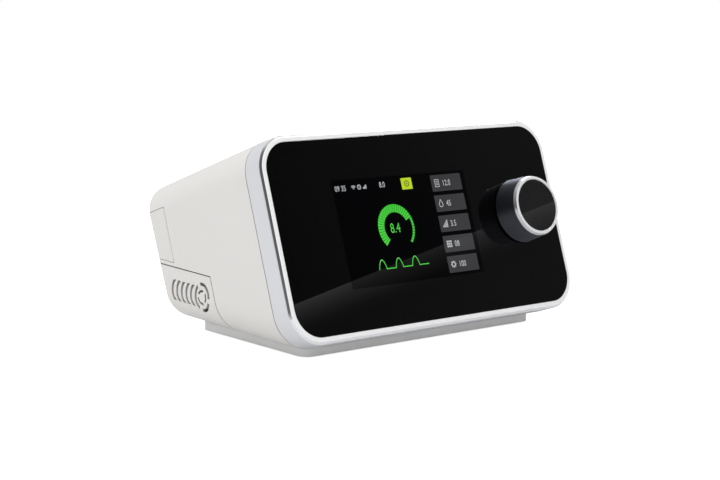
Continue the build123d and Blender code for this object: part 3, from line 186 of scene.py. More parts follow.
# %% Handling film
CLEAN_BELOW, FULL_SMUDGE = 0.42, 0.75
film_group, given, wanted = new_group("handling_film", {"Scale": 60.0}, ["Smudge"])
place = add_node(film_group, "ShaderNodeTexCoord").outputs["Object"]
bent = add_node(film_group, "ShaderNodeTexNoise",
                {"Vector": place, "Scale": given["Scale"], "Detail": 4.0, "Distortion": 1.5})
smudge_share = remap(film_group, bent.outputs[0], CLEAN_BELOW, FULL_SMUDGE)
film_group.links.new(smudge_share, wanted["Smudge"])
print("group", film_group.name)

# %% [markdown]
# Dust settles where a surface looks up. The upward part of the normal says how flat a spot lies,
# and noise breaks the layer into specks, which is simpler than scattering real grains.

# %% Settled dust
DUST_FROM_TILT, DUST_ON_FLAT = 0.55, 1.0
dust_group, given, wanted = new_group("settled_dust", {"Scale": 220.0}, ["Dust"])
coords = add_node(dust_group, "ShaderNodeTexCoord")
up_share = add_node(dust_group, "ShaderNodeSeparateXYZ", {0: coords.outputs["Normal"]}).outputs["Z"]
facing = remap(dust_group, up_share, DUST_FROM_TILT, DUST_ON_FLAT)
specks = add_node(dust_group, "ShaderNodeTexNoise",
                  {"Vector": coords.outputs["Object"], "Scale": given["Scale"], "Detail": 5.0})
dust_group.links.new(compute(dust_group, "MULTIPLY", facing, specks.outputs[0]), wanted["Dust"])
print("group", dust_group.name)

# %% [markdown]
# A lathe leaves rings: their place depends only on the distance from the axis and the height
# along it. The sum of both, fed to a noise in one dimension, gives rings on sides and faces.
# The group takes the piece's own Z as the axis, and the knob's pieces are built round it.

# %% Turned marks
turned_group, given, wanted = new_group("turned_marks", {"Rings": 6000.0}, ["Height"])
place = add_node(turned_group, "ShaderNodeTexCoord").outputs["Object"]
along = add_node(turned_group, "ShaderNodeSeparateXYZ", {0: place}).outputs["Z"]
level = add_node(turned_group, "ShaderNodeVectorMath", {0: place, 1: (1, 1, 0)},
                 operation="MULTIPLY")
radius = add_node(turned_group, "ShaderNodeVectorMath", {0: level.outputs[0]}, operation="LENGTH")
reach = compute(turned_group, "ADD", along, radius.outputs["Value"])
walk = compute(turned_group, "MULTIPLY", reach, given["Rings"])
lines = add_node(turned_group, "ShaderNodeTexNoise", {"W": walk, "Scale": 1.0, "Detail": 3.0},
                 noise_dimensions="1D")
turned_group.links.new(lines.outputs[0], wanted["Height"])
print("group", turned_group.name)

# %% [markdown]
# ## The studio
# The machine stands on a plain white floor in an even white room, so its white casing shows
# little shade. Reflections see the room a little darker towards the upper left, which gives
# the glossy edges on that side something to mirror. The camera itself sees plain white.

# %% Floor and room
FLOOR_REACH = 3.0
FLOOR_GREYS = (0.86, 0.88)
FLOOR_GLOW = 0.9
ROOM_LIGHT = 0.735
DARK_SIDE = Vector((-0.60, -0.45, 0.66)).normalized()
DARK_FROM, DARK_TO, DARK_LIGHT = 0.55, 0.95, 0.15
CAMERA_WHITE = 1.0


def stage_sheet(name, corners, material):
    """A flat sheet of the studio from four corners, in metres."""
    sheet = bmesh.new()
    sheet.faces.new([sheet.verts.new(corner) for corner in corners])
    data = bpy.data.meshes.new(name)
    sheet.to_mesh(data)
    sheet.free()
    piece = bpy.data.objects.new(name, data)
    piece.data.materials.append(material)
    bpy.context.scene.collection.objects.link(piece)
    return piece


def shader_start(name, values):
    """A new material with its tree and its Principled shader, with constant values typed in."""
    material = bpy.data.materials.new(name)
    material.use_nodes = True
    tree = material.node_tree
    shader = tree.nodes["Principled BSDF"]
    for socket, value in values.items():
        shader.inputs[socket].default_value = value
    return material, tree, shader


floor_paint, tree, shader = shader_start("floor_paint",
                                         {"Roughness": 0.9, "Emission Strength": 1.0})
clouds = add_node(tree, "ShaderNodeTexNoise", {"Scale": 3.0})
paint = blend(tree, clouds.outputs[0], grey(FLOOR_GREYS[0]), grey(FLOOR_GREYS[1]))
tree.links.new(paint, shader.inputs["Base Color"])
seen = add_node(tree, "ShaderNodeLightPath").outputs["Is Camera Ray"]
tree.links.new(blend(tree, seen, grey(0.0), grey(FLOOR_GLOW)), shader.inputs["Emission Color"])
stage_sheet("studio_floor", [(-FLOOR_REACH, -FLOOR_REACH, 0), (FLOOR_REACH, -FLOOR_REACH, 0),
                             (FLOOR_REACH, FLOOR_REACH, 0), (-FLOOR_REACH, FLOOR_REACH, 0)],
            floor_paint)

room = bpy.data.worlds.new("studio_room")
room.use_nodes = True
room_tree = room.node_tree
rays = add_node(room_tree, "ShaderNodeLightPath").outputs
direction = add_node(room_tree, "ShaderNodeTexCoord").outputs["Generated"]
towards_dark = add_node(room_tree, "ShaderNodeVectorMath", {0: direction, 1: DARK_SIDE},
                        operation="DOT_PRODUCT").outputs["Value"]
mirrored = remap(room_tree, towards_dark, DARK_FROM, DARK_TO, ROOM_LIGHT, DARK_LIGHT,
                 interpolation_type="SMOOTHSTEP")
around = add_node(room_tree, "ShaderNodeMix", {0: rays["Is Glossy Ray"], 2: ROOM_LIGHT, 3: mirrored})
shown = add_node(room_tree, "ShaderNodeMix",
                 {0: rays["Is Camera Ray"], 2: around.outputs[0], 3: CAMERA_WHITE})
background = room_tree.nodes["Background"].inputs
background["Color"].default_value = grey(1.0)
room_tree.links.new(shown.outputs[0], background["Strength"])
bpy.context.scene.world = room
bpy.context.scene.view_settings.view_transform = "Standard"
print("studio floor", 2 * FLOOR_REACH, "m wide")

# %% [markdown]
# The main light is one large soft box over the machine's left, so the top is brightest and the
# front of the slab falls into a soft shade. Its own picture is kept out of reflections, because
# the flags below decide what the gloss mirrors. A sun lamp would draw shadows that are too hard.

# %% Lights
def area_light(name, width, height, power, location, rotation):
    """A rectangular lamp, in metres and watts."""
    lamp = bpy.data.lights.new(name, "AREA")
    lamp.shape = "RECTANGLE"
    lamp.size, lamp.size_y, lamp.energy = width, height, power
    light = bpy.data.objects.new(name, lamp)
    light.location, light.rotation_euler = location, rotation
    bpy.context.scene.collection.objects.link(light)
    print("light", name, width, "by", height, "m")
    return light


SOFT_TILT = (math.radians(-4), math.radians(-26), 0)
soft_light = area_light("soft_box", width=1.8, height=1.8, power=13.2,
                        location=(-0.7, -0.1, 1.4), rotation=SOFT_TILT)
soft_light.visible_glossy = False

# %% [markdown]
# A second, narrow light stands at the upper right. It only shows in reflections, so it draws the
# bright line along the top of the knob without lighting the casing.

# %% Edge light for the knob
AWAY_FROM_KNOB = Vector((0.6, 0.36, 0.96))
edge_turn = AWAY_FROM_KNOB.to_track_quat("Z", "Y").to_euler()
edge_light = area_light("edge_box", width=0.2, height=0.8, power=16.0,
                        location=(0.67, 0.29, 1.03), rotation=edge_turn)
edge_light.visible_diffuse = False

# %% [markdown]
# Shiny pieces would be all white in a white room. Photographers stand dark flags where a
# polished edge or a glass front would mirror the room. The flags here are seen by reflections
# only, so they take no light from the machine. Each is a card whose shade runs up by a colour
# ramp. A ramp holds a limited number of steps, so it spans only the heights where shades change.

# %% Dark flags
SIDE_BLEND_LEFT, SIDE_BLEND_RIGHT = -0.2, 0.15


def add_ramp(tree, height, shades):
    """A ramp of grey shades up a card, given as (height in metres, shade) pairs."""
    lowest, highest = shades[0][0], shades[-1][0]
    ramp = add_node(tree, "ShaderNodeValToRGB", {0: remap(tree, height, lowest, highest)})
    stops = ramp.color_ramp.elements
    for end, (_, shade) in zip(stops, (shades[0], shades[-1])):
        end.color = grey(shade)
    for height_at, shade in shades[1:-1]:
        stops.new((height_at - lowest) / (highest - lowest)).color = grey(shade)
    return ramp.outputs[0]


def flag_card(name, towards, distance, foot, top, width, left_shades, right_shades, fall=0.0):
    """An upright card that faces the machine and is seen in reflections only. Its shades go from
    left_shades to right_shades across the middle, and fall is how fast they sink to the right."""
    out = Vector((towards[0], towards[1], 0)).normalized()
    sideways = Vector((-out.y, out.x, 0))
    corners = [out * distance + sideways * (side * width / 2) + Vector((0, 0, height))
               for side, height in ((-1, foot), (1, foot), (1, top), (-1, top))]
    card, card_tree, card_shader = shader_start(name, {
        "Base Color": grey(0.0), "Specular IOR Level": 0.0, "Roughness": 1.0,
        "Emission Strength": 1.0})
    place = add_node(card_tree, "ShaderNodeTexCoord").outputs["Object"]
    height = add_node(card_tree, "ShaderNodeSeparateXYZ", {0: place}).outputs["Z"]
    across = add_node(card_tree, "ShaderNodeVectorMath", {0: place, 1: tuple(sideways)},
                      operation="DOT_PRODUCT").outputs["Value"]
    sunk = compute(card_tree, "MULTIPLY_ADD", across, fall, height)
    side_share = remap(card_tree, across, SIDE_BLEND_LEFT, SIDE_BLEND_RIGHT)
    shade = blend(card_tree, side_share, add_ramp(card_tree, sunk, left_shades),
                  add_ramp(card_tree, sunk, right_shades))
    card_tree.links.new(shade, card_shader.inputs["Emission Color"])
    sheet = stage_sheet(name, corners, card)
    sheet.visible_camera = sheet.visible_diffuse = sheet.visible_shadow = False
    print("flag", name, "at", [round(v, 2) for v in out * distance])


# The front glass mirrors this card, which is grey below its step and dark above. The step draws
# the slanted line across the glass and over the knob's cap.
FRONT_LEFT_SHADES = [
    (0.480, 0.085), (0.5369, 0.065), (0.5515, 0.096), (0.5619, 0.18), (0.5702, 0.27),
    (0.5754, 0.34), (0.5795, 0.40), (0.5826, 0.46), (0.5875, 0.55), (0.5881, 0.040), (0.600, 0.036)]
FRONT_RIGHT_SHADES = [
    (0.480, 0.10), (0.5369, 0.10), (0.5515, 0.115), (0.5745, 0.26), (0.5875, 0.40),
    (0.5881, 0.10), (0.600, 0.10)]
flag_card("front_flag", towards=(0.70, -0.71), distance=1.6, foot=0.02, top=2.4, width=3.6,
          left_shades=FRONT_LEFT_SHADES, right_shades=FRONT_RIGHT_SHADES, fall=0.063)
# The bezel's polished chamfer mirrors this card, bright at the floor and dark above it.
SIDE_SHADES = [
    (0.05, 0.70), (0.1565, 0.50), (0.334, 0.25), (0.5825, 0.12), (1.47, 0.12), (3.6, 0.17)]
flag_card("left_flag", towards=(-0.748, -0.585), distance=1.8, foot=0.05, top=3.6, width=3.4,
          left_shades=SIDE_SHADES, right_shades=SIDE_SHADES)

# %% [markdown]
# ## Finishes
# Each finish is a Principled shader whose colour, roughness and small relief come from the shared
# groups. One builder covers the moulded plastics and paints: it mixes two near shades by the cloud,
# lets smudges change the gloss, adds a little dust on upward faces, paints shade into narrow
# crevices where asked, and turns the grain into relief. Values that are the same all over are typed
# on the shader itself.

# %% Moulded finish
DUST_COLOUR = (0.75, 0.74, 0.72, 1)
# The crevice shade is painted shade: ambient occlusion with the given number of samples darkens the
# colour in narrow crevices. At an occlusion of the first value on the next line or less, the colour
# keeps the last value as its share, and at the second value or more it stays whole.
MOULDED_EDGE, EDGE_SAMPLES, CREVICE_SHADE_SAMPLES = 0.00025, 4, 6
CREVICE_SHADE_CLOSED, CREVICE_SHADE_OPEN, CREVICE_SHADE_DARKEST = 0.1, 0.75, 0.25


def smudged_gloss(tree, shader, gloss, smudge):
    """Roughness that goes from gloss up to gloss + smudge under the handling film."""
    film = add_node(tree, "ShaderNodeGroup", node_tree=film_group)
    rough = remap(tree, film.outputs["Smudge"], 0.0, 1.0, gloss, gloss + smudge)
    tree.links.new(rough, shader.inputs["Roughness"])


def relief(tree, shader, height, depth, edge):
    """Bumps up to depth over edges that look rounded by a radius of edge, both in metres."""
    rounded = add_node(tree, "ShaderNodeBevel", {"Radius": edge}, samples=EDGE_SAMPLES)
    bumps = {"Height": height, "Distance": depth, "Strength": 1.0, "Normal": rounded.outputs[0]}
    bumped = add_node(tree, "ShaderNodeBump", bumps)
    tree.links.new(bumped.outputs[0], shader.inputs["Normal"])


def moulded(name, dark, light, gloss, grain=0.00002, scale=900.0, smudge=0.06, dust=0.04,
            metal=0.0, crevice_shade_reach=0.0):
    """A moulded or painted finish. gloss is its roughness, grain the height of its relief in metres.
    Where the crevice shade's reach is more than 0, shade is painted into crevices narrower than that
    reach: ambient occlusion darkens the colour there."""
    material, tree, shader = shader_start(name, {"Metallic": metal})
    grains = add_node(tree, "ShaderNodeGroup", {"Scale": scale}, node_tree=grain_group)
    settled = add_node(tree, "ShaderNodeGroup", node_tree=dust_group)
    shade = blend(tree, grains.outputs["Cloud"], tone(*dark), tone(*light))
    dusty = remap(tree, settled.outputs["Dust"], 0.0, 1.0, 0.0, dust)
    outer = blend(tree, dusty, shade, DUST_COLOUR)
    # Painted shade: the colour is darkened where ambient occlusion finds a narrow crevice or a gap
    # between parts.
    if crevice_shade_reach:
        crevice = add_node(tree, "ShaderNodeAmbientOcclusion", {"Distance": crevice_shade_reach},
                           samples=CREVICE_SHADE_SAMPLES)
        crevice_shade_factor = remap(tree, crevice.outputs["AO"], CREVICE_SHADE_CLOSED, CREVICE_SHADE_OPEN, CREVICE_SHADE_DARKEST, 1.0)
        outer = add_node(tree, "ShaderNodeVectorMath", {0: outer, 1: crevice_shade_factor},
                         operation="MULTIPLY").outputs[0]
    tree.links.new(outer, shader.inputs["Base Color"])
    smudged_gloss(tree, shader, gloss, smudge)
    relief(tree, shader, grains.outputs["Height"], grain, MOULDED_EDGE)
    return material


# Each row: the darker and the lighter shade on a screen, the roughness, and what else differs
MOULDED = {
    # Rows with a crevice-shade reach also get shade painted into their narrow crevices.
    "casing_white": ((218, 216, 213), (222, 220, 218), 0.42, {"crevice_shade_reach": 0.003}),
    "base_grey": ((236, 236, 236), (241, 241, 241), 0.5, {"grain": 0.00003, "crevice_shade_reach": 0.004}),
    "inner_plastic": ((205, 205, 202), (214, 214, 211), 0.5, {}),
    "outlet_plastic": ((222, 223, 224), (229, 230, 231), 0.3, {"grain": 0.00001}),
    "black_plastic": ((34, 34, 35), (44, 44, 45), 0.45, {}),
    "board_green": ((18, 70, 44), (26, 92, 58), 0.35, {"scale": 2600.0}),
    "soft_rubber": ((58, 58, 60), (70, 70, 71), 0.7, {"grain": 0.00004}),
    "open_foam": ((96, 96, 98), (128, 128, 129), 0.95, {"grain": 0.0005, "scale": 1300.0}),
    "steel": ((176, 176, 178), (196, 196, 199), 0.28, {"grain": 0.000004, "metal": 1.0}),
    "magnet": ((92, 92, 95), (112, 112, 116), 0.35, {"grain": 0.00001, "metal": 0.6}),
    "contact_brass": ((206, 170, 96), (222, 190, 120), 0.25, {"grain": 0.000004, "metal": 1.0}),
    "display_unit": ((26, 27, 30), (32, 33, 37), 0.3, {"grain": 0.000004}),
    "panel_glass": ((4, 4, 5), (6, 6, 7), 0.003,
                    {"grain": 0.00000005, "scale": 300.0, "smudge": 0.003, "dust": 0.004}),
    "bezel_silver": ((212, 213, 217), (220, 221, 225), 0.34,
                     {"grain": 0.000006, "scale": 3000.0, "metal": 0.35, "dust": 0.01,
                      "crevice_shade_reach": 0.003}),
    "knob_black": ((20, 20, 22), (25, 25, 27), 0.004,
                   {"grain": 0.00000005, "smudge": 0.004, "dust": 0.01}),
}
finishes = {name: moulded(name, dark, light, gloss, **more)
            for name, (dark, light, gloss, more) in MOULDED.items()}
print("finishes:", len(finishes))

# %% [markdown]
# ## The turned finishes of the knob
# The knob is turned metal: a dark anodised body and a bright ring. The lathe leaves fine rings
# round the axis, so the relief comes from the turned_marks group. Such rings also stretch each
# highlight across them. The shader's Anisotropic value does that, along a tangent round Z.

# %% Turned metals
TURNED_SMUDGE, TURNED_EDGE, QUARTER_TURN = 0.06, 0.0002, 0.25


def turned(name, dark, light, gloss, depth, metal=1.0, stretch=0.0):
    """A turned metal finish with rings round the piece's own Z. depth is in metres."""
    material, tree, shader = shader_start(name, {
        "Metallic": metal, "Anisotropic": stretch, "Anisotropic Rotation": QUARTER_TURN})
    marks = add_node(tree, "ShaderNodeGroup", node_tree=turned_group).outputs["Height"]
    tree.links.new(blend(tree, marks, tone(*dark), tone(*light)), shader.inputs["Base Color"])
    smudged_gloss(tree, shader, gloss, TURNED_SMUDGE)
    relief(tree, shader, marks, depth, TURNED_EDGE)
    round_axis = add_node(tree, "ShaderNodeTangent", direction_type="RADIAL", axis="Z")
    tree.links.new(round_axis.outputs[0], shader.inputs["Tangent"])
    return material


finishes["knob_dark"] = turned("knob_dark", (84, 86, 93), (96, 98, 106), 0.42, 0.000003,
                               stretch=0.9)
finishes["knob_steel"] = turned("knob_steel", (196, 197, 200), (214, 215, 218), 0.25, 0.000002,
                                stretch=0.7)
finishes["knob_bright"] = turned("knob_bright", (236, 237, 238), (245, 246, 247), 0.35, 0.000002,
                                 metal=0.15)
print("finishes with the turned ones:", len(finishes))

# %% [markdown]
# ## Dressing the CAD nodes
# Every node of the CAD names a material slot in the record. Each one takes the finish of its
# slot. The CAD meshes stay as they are: only the material in their first slot changes.

# %% Finish per slot
slot_of = {entry["node"]: entry["material_slot"] for entry in frame["record"]["subparts"]}
for member, piece in nodes.items():
    finish = finishes[slot_of[member]]
    if not piece.data.materials:
        piece.data.materials.append(finish)
    for index in range(len(piece.material_slots)):
        piece.material_slots[index].material = finish
print("dressed", len(nodes), "nodes with", len(set(slot_of.values())), "finishes")

# %% [markdown]
# ## Sections with rounded corners
# The bezel and the knob's pieces are closed sections that run along a line: round the glass or
# round an axis. A bevel modifier would give all edges the same rounding. Drawing the section
# with a radius at each corner keeps each edge at its own radius. Every corner also names the
# finish of the face that starts there, so one piece can hold a polished and a painted part.

# %% Rounded sections
ROUND_STEPS = 5


def soften(section):
    """Rounds the corners of a closed section. A corner is (across, along, radius, finish).
    Gives its points, and for each the finish of its corner."""
    corners = [Vector(corner[:2]) for corner in section]
    points = []
    for index, (here, (_, _, radius, finish)) in enumerate(zip(corners, section)):
        if not radius:
            points.append((here, finish))
            continue
        back = (corners[index - 1] - here).normalized()
        ahead = (corners[(index + 1) % len(corners)] - here).normalized()
        half = back.angle(ahead) / 2
        middle = here + (back + ahead).normalized() * (radius / math.sin(half))
        start = here + back * (radius / math.tan(half))
        stop = here + ahead * (radius / math.tan(half))
        for step in range(ROUND_STEPS + 1):
            arm = (start - middle).lerp(stop - middle, step / ROUND_STEPS).normalized() * radius
            points.append((middle + arm, finish))
    return points


def skin_section(name, section, loop_of, body, matrix=None):
    """Skins a rounded section. loop_of adds the ring of vertices that one of its points draws."""
    used = list(dict.fromkeys(corner[3] for corner in section))
    mesh_maker = bmesh.new()
    points = soften(section)
    loops = [loop_of(mesh_maker, *point) for point, _ in points]
    for index, (_, finish) in enumerate(points):
        here, ahead = loops[index], loops[(index + 1) % len(loops)]
        for spot in range(len(here)):
            onward = (spot + 1) % len(here)
            quad = (here[spot], here[onward], ahead[onward], ahead[spot])
            rim = list(dict.fromkeys(quad))
            if len(rim) > 2:
                face = mesh_maker.faces.new(rim)
                face.material_index = used.index(finish)
                face.smooth = True
    piece = keep_mesh(name, mesh_maker, body, matrix)
    for finish in used:
        piece.data.materials.append(finishes[finish])
    return piece

# %% [markdown]
# ## The bezel
# On the real machine one silver ring frames the glass: a bright flat rim, a polished chamfer
# round it, and a painted band that runs back to the casing. Its section is swept round the
# outline of the glass, in a frame that lies on the leaning front.

# %% The front's frame and the glass outline
LEAN = math.radians(19.7)
PANEL_FOOT = Vector((0, -78.0, 15.1)) * MM
OUTWARD = Vector((0, -math.cos(LEAN), math.sin(LEAN)))
UPWARD = Vector((0, math.sin(LEAN), math.cos(LEAN)))
FRONT = Matrix((Vector((1, 0, 0)), UPWARD, OUTWARD)).transposed().to_4x4()
FRONT.translation = PANEL_FOOT
PANEL_HALF_X, PANEL_HALF_RISE, PANEL_CORNER = 102.5, 52.0, 15.8
CORNER_STEPS = 28


def on_front(x, rise, height):
    """A spot in millimetres: across, up the leaning front and out of it, in metres of the scene."""
    return FRONT @ (Vector((x, rise, height)) * MM)


def panel_outline(grow):
    """Points of the glass outline, larger by grow, as x and rise in millimetres."""
    reach_x, reach_rise = PANEL_HALF_X - PANEL_CORNER, PANEL_HALF_RISE - PANEL_CORNER
    points = []
    for quarter, (side_x, side_rise) in enumerate(((1, 1), (-1, 1), (-1, -1), (1, -1))):
        centre = Vector((side_x * reach_x, PANEL_HALF_RISE + side_rise * reach_rise))
        for step in range(CORNER_STEPS + 1):
            turn = math.radians(90) * (quarter + step / CORNER_STEPS)
            arm = Vector((math.cos(turn), math.sin(turn))) * (PANEL_CORNER + grow)
            points.append(centre + arm)
    return points


def glass_loop(mesh_maker, grow, depth):
    """The ring of vertices that lies grow out from the glass outline and depth behind its face."""
    return [mesh_maker.verts.new(on_front(x, rise, -depth)) for x, rise in panel_outline(grow)]


print("front leans", round(math.degrees(LEAN), 1), "degrees, outline of", len(panel_outline(0)))

# %% [markdown]
# The rim is painted a satin near-white. The chamfer is polished like chrome, which makes the
# thin dark line that the flag draws round the front's left side.

# %% Bezel ring
finishes["rim_satin"] = moulded("rim_satin", (244, 244, 245), (249, 249, 250), 0.3,
                                grain=0.000003, scale=3000.0, dust=0.01)
finishes["chamfer_polish"] = moulded("chamfer_polish", (226, 227, 230), (236, 237, 240), 0.06,
                                     grain=0.0000005, scale=3000.0, metal=1.0, smudge=0.05,
                                     dust=0.01)

# Distance out from the glass outline, depth behind the glass, rounding (in millimetres), finish
BEZEL_SECTION = [
    (0, 0, 0.12, "rim_satin"),
    (2.2, 0, 0.5, "rim_satin"),
    (2.5, 0.3, 0, "chamfer_polish"),
    (3.8, 1.6, 0.9, "bezel_silver"),
    # The small chamfer at the back edge is black: a painted shade line for the groove where the
    # bezel meets the casing.
    (3.8, 13.05, 0, "black_plastic"),
    (3.35, 13.5, 0, "inner_plastic"),
    (1.4, 13.5, 0, "inner_plastic"),
    (1.4, 3.95, 0, "inner_plastic"),
    (-3.5, 3.95, 0, "inner_plastic"),
    (-3.5, 1.95, 0, "inner_plastic"),
    (0, 1.95, 0, "inner_plastic"),
]
bezel_ring = skin_section("bezel_ring", BEZEL_SECTION, glass_loop, "housing")
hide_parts("bezel")

# %% [markdown]
# ## The knob
# The knob is three turned parts: a hollow body with a hub, a bright ring on its front edge and
# a glossy black cap inside the ring. Turned parts are sections spun round an axis, so each one
# is drawn as a closed section of radius and height, rounded at its corners, and spun. The Spin
# tool does the same, but a loop of our own also closes the points that lie on the axis.

# %% Spun pieces
SPIN_STEPS = 144
KNOB_X, KNOB_RISE = 73.1, 54.3
knob_frame = FRONT @ Matrix.Translation(Vector((KNOB_X, KNOB_RISE, 0)) * MM)


def spun_loop(mesh_maker, radius, height):
    """The ring of vertices at a radius and height, or one vertex over and over on the axis."""
    if not radius:
        return [mesh_maker.verts.new((0, 0, height * MM))] * SPIN_STEPS
    ring = []
    for step in range(SPIN_STEPS):
        turn = 2 * math.pi * step / SPIN_STEPS
        spot = Vector((radius * math.cos(turn), radius * math.sin(turn), height))
        ring.append(mesh_maker.verts.new(spot * MM))
    return ring


print("knob centre", [round(v, 4) for v in knob_frame.translation])

# %% [markdown]
# The body narrows a little towards its front, and its hub fits the switch's shaft. The ring's
# bevel is turned steel, which draws the lights out into streaks, and its flat front is brighter
# and more even. The cap lies a little lower than the ring, so a thin shaded line parts them.

# %% Knob body, ring and cap
# Radius, height over the glass, rounding (in millimetres) and finish
BODY_SECTION = [
    (18.5, 1.0, 0.45, "knob_dark"), (17.3, 14.2, 0.1, "knob_dark"), (0, 14.2, 0, "knob_dark"),
    (0, 10.8, 0, "knob_dark"), (3.03, 10.8, 0, "knob_dark"), (3.03, 5.2, 0.2, "knob_dark"),
    (6.0, 5.2, 0.3, "knob_dark"), (6.0, 11.7, 0, "knob_dark"), (14.9, 11.7, 0.3, "knob_dark"),
    (14.9, 1.0, 0.2, "knob_dark"),
]
turned_body = skin_section("knob_turned_body", BODY_SECTION, spun_loop, "knob",
                           knob_frame)
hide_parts("knob_body")

RING_SECTION = [
    (17.3, 14.2, 0.03, "knob_steel"), (17.3, 14.4, 0.1, "knob_steel"),
    (16.5, 16.2, 0.25, "knob_bright"), (15.0, 16.2, 0.12, "knob_bright"),
    (15.0, 14.2, 0, "knob_steel"),
]
turned_ring = skin_section("knob_bright_ring", RING_SECTION, spun_loop, "knob",
                           knob_frame)
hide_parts("knob_ring")

CAP_SECTION = [
    (0, 15.8, 0, "knob_black"), (14.85, 15.8, 0.25, "knob_black"),
    (14.85, 14.2, 0, "knob_black"), (0, 14.2, 0, "knob_black"),
]
glossy_cap = skin_section("knob_glossy_cap", CAP_SECTION, spun_loop, "knob",
                          knob_frame)
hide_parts("knob_cap")

# %% [markdown]
# ## What the display shows
# The lit display sits behind the black glass. Its picture could be an image texture, but sharp
# shapes stay crisp at any distance when they are meshes, so each mark is a thin plate on the
# glass, a few hundredths of a millimetre proud, with the gloss of the glass and its own light.
# The marks are a design for this lesson: grey tiles with plain symbols, a clock and numbers,
# and a green ring gauge over a pressure curve.

# %% Lit surfaces
LIT_BASE = tone(1, 1, 2)
LIT_CLOUD_SCALE, LIT_SMUDGE = 40.0, 0.003


def lit(name, low, high, gloss=0.05, mirror=0.3):
    """A glossy dark surface that gives off a light of its own, a little uneven like a backlight."""
    material, tree, shader = shader_start(name, {
        "Base Color": LIT_BASE, "Specular IOR Level": mirror, "Emission Strength": 1.0})
    grains = add_node(tree, "ShaderNodeGroup", {"Cloud Scale": LIT_CLOUD_SCALE},
                      node_tree=grain_group)
    light = blend(tree, grains.outputs["Cloud"], tone(*low), tone(*high))
    tree.links.new(light, shader.inputs["Emission Color"])
    smudged_gloss(tree, shader, gloss, LIT_SMUDGE)
    return material


lights = {
    "dark": lit("screen_dark", (0, 0, 0), (0, 0, 1), gloss=0.003, mirror=0.25),
    "grey": lit("screen_grey", (52, 52, 54), (62, 62, 65), mirror=0.5),
    "pale": lit("screen_pale", (178, 180, 182), (196, 198, 200)),
    "lime": lit("screen_lime", (178, 206, 38), (190, 216, 46)),
    "olive": lit("screen_olive", (66, 84, 12), (74, 92, 16)),
    "green": lit("screen_green", (58, 196, 52), (84, 222, 74)),
}
print("lit surfaces:", len(lights))

# %% [markdown]
# Every mark is a closed outline in millimetres on the front, given two heights and walls. Four
# helpers draw the outlines: a rectangle with round corners, a piece of a ring, a bar along each
# run of a line, and the plates themselves. Curves with a bevel would need converting first.

# %% Plates on the glass
WINDOW_HEIGHTS = (-0.02, 0.02)
TILE_HEIGHTS = (0.01, 0.035)
MARK_HEIGHTS = (0.03, 0.045)
ALL_ROUND = 359.9       # degrees, so that the two ends of a full ring don't meet
DOT_CENTRE = 0.0001     # the inner radius of a full dot


def plates(name, outlines, heights, finish):
    """Closed flat plates from outlines of (x, rise) points, between two heights, in millimetres."""
    sheet = bmesh.new()
    for outline in outlines:
        bottom, top = [[sheet.verts.new(on_front(x, rise, height)) for x, rise in outline]
                       for height in heights]
        sheet.faces.new(top)
        sheet.faces.new(list(reversed(bottom)))
        for index in range(len(outline)):
            onward = (index + 1) % len(outline)
            sheet.faces.new((bottom[index], bottom[onward], top[onward], top[index]))
    piece = keep_mesh(name, sheet, "housing")
    piece.data.materials.append(finish)
    return piece


def tile(left, low, right, high, corner, steps=5):
    """The outline of a rectangle with rounded corners."""
    centres = ((right - corner, high - corner), (left + corner, high - corner),
               (left + corner, low + corner), (right - corner, low + corner))
    points = []
    for quarter, (x, rise) in enumerate(centres):
        for step in range(steps + 1):
            turn = math.radians(90) * (quarter + step / steps)
            points.append((x + corner * math.cos(turn), rise + corner * math.sin(turn)))
    return points


def arc_band(x, rise, inner, outer, start, stop, steps=24):
    """The outline of a piece of a ring, with its angles in degrees."""
    turns = [math.radians(start + (stop - start) * step / steps) for step in range(steps + 1)]
    return ([(x + outer * math.cos(a), rise + outer * math.sin(a)) for a in turns]
            + [(x + inner * math.cos(a), rise + inner * math.sin(a)) for a in reversed(turns)])


def stroke(points, width):
    """Thin bars along a broken line, one outline for each run."""
    bars = []
    for (x0, r0), (x1, r1) in zip(points, points[1:]):
        run = Vector((x1 - x0, r1 - r0))
        side_step = Vector((-run.y, run.x)).normalized() * width / 2
        reach = run.normalized() * width / 2
        first, last = Vector((x0, r0)) - reach, Vector((x1, r1)) + reach
        bars.append([tuple(spot) for spot in (first + side_step, first - side_step,
                                              last - side_step, last + side_step)])
    return bars


print("plate heights:", WINDOW_HEIGHTS, TILE_HEIGHTS, MARK_HEIGHTS)

# %% [markdown]
# The lit window is nearly black, so its edge only just shows in the glass. Five grey tiles stand
# in a column at its right, where the machine lists its settings.

# %% Window and tiles
WINDOW = (-61.4, 22.4, 36.2, 81.1)
TILE_LEFT, TILE_RIGHT, TILE_HALF = 10.2, 33.2, 4.65
TOP_TILE_RISE, TILE_PITCH, TILE_COUNT = 74.75, 11.5, 5
WINDOW_CORNER, TILE_CORNER = 0.3, 0.5

plates("screen_window", [tile(*WINDOW, corner=WINDOW_CORNER)], WINDOW_HEIGHTS, lights["dark"])
tile_rises = [TOP_TILE_RISE - TILE_PITCH * row for row in range(TILE_COUNT)]
tiles = [tile(TILE_LEFT, rise - TILE_HALF, TILE_RIGHT, rise + TILE_HALF, TILE_CORNER)
         for rise in tile_rises]
plates("screen_tiles", tiles, TILE_HEIGHTS, lights["grey"])
print("tiles at", [round(rise, 1) for rise in tile_rises])

# %% [markdown]
# Each tile starts with a plain symbol: a page, a drop, rising bars, a grid and a gear. They are
# built from the same few outlines, with their sizes from the middle of the symbol.

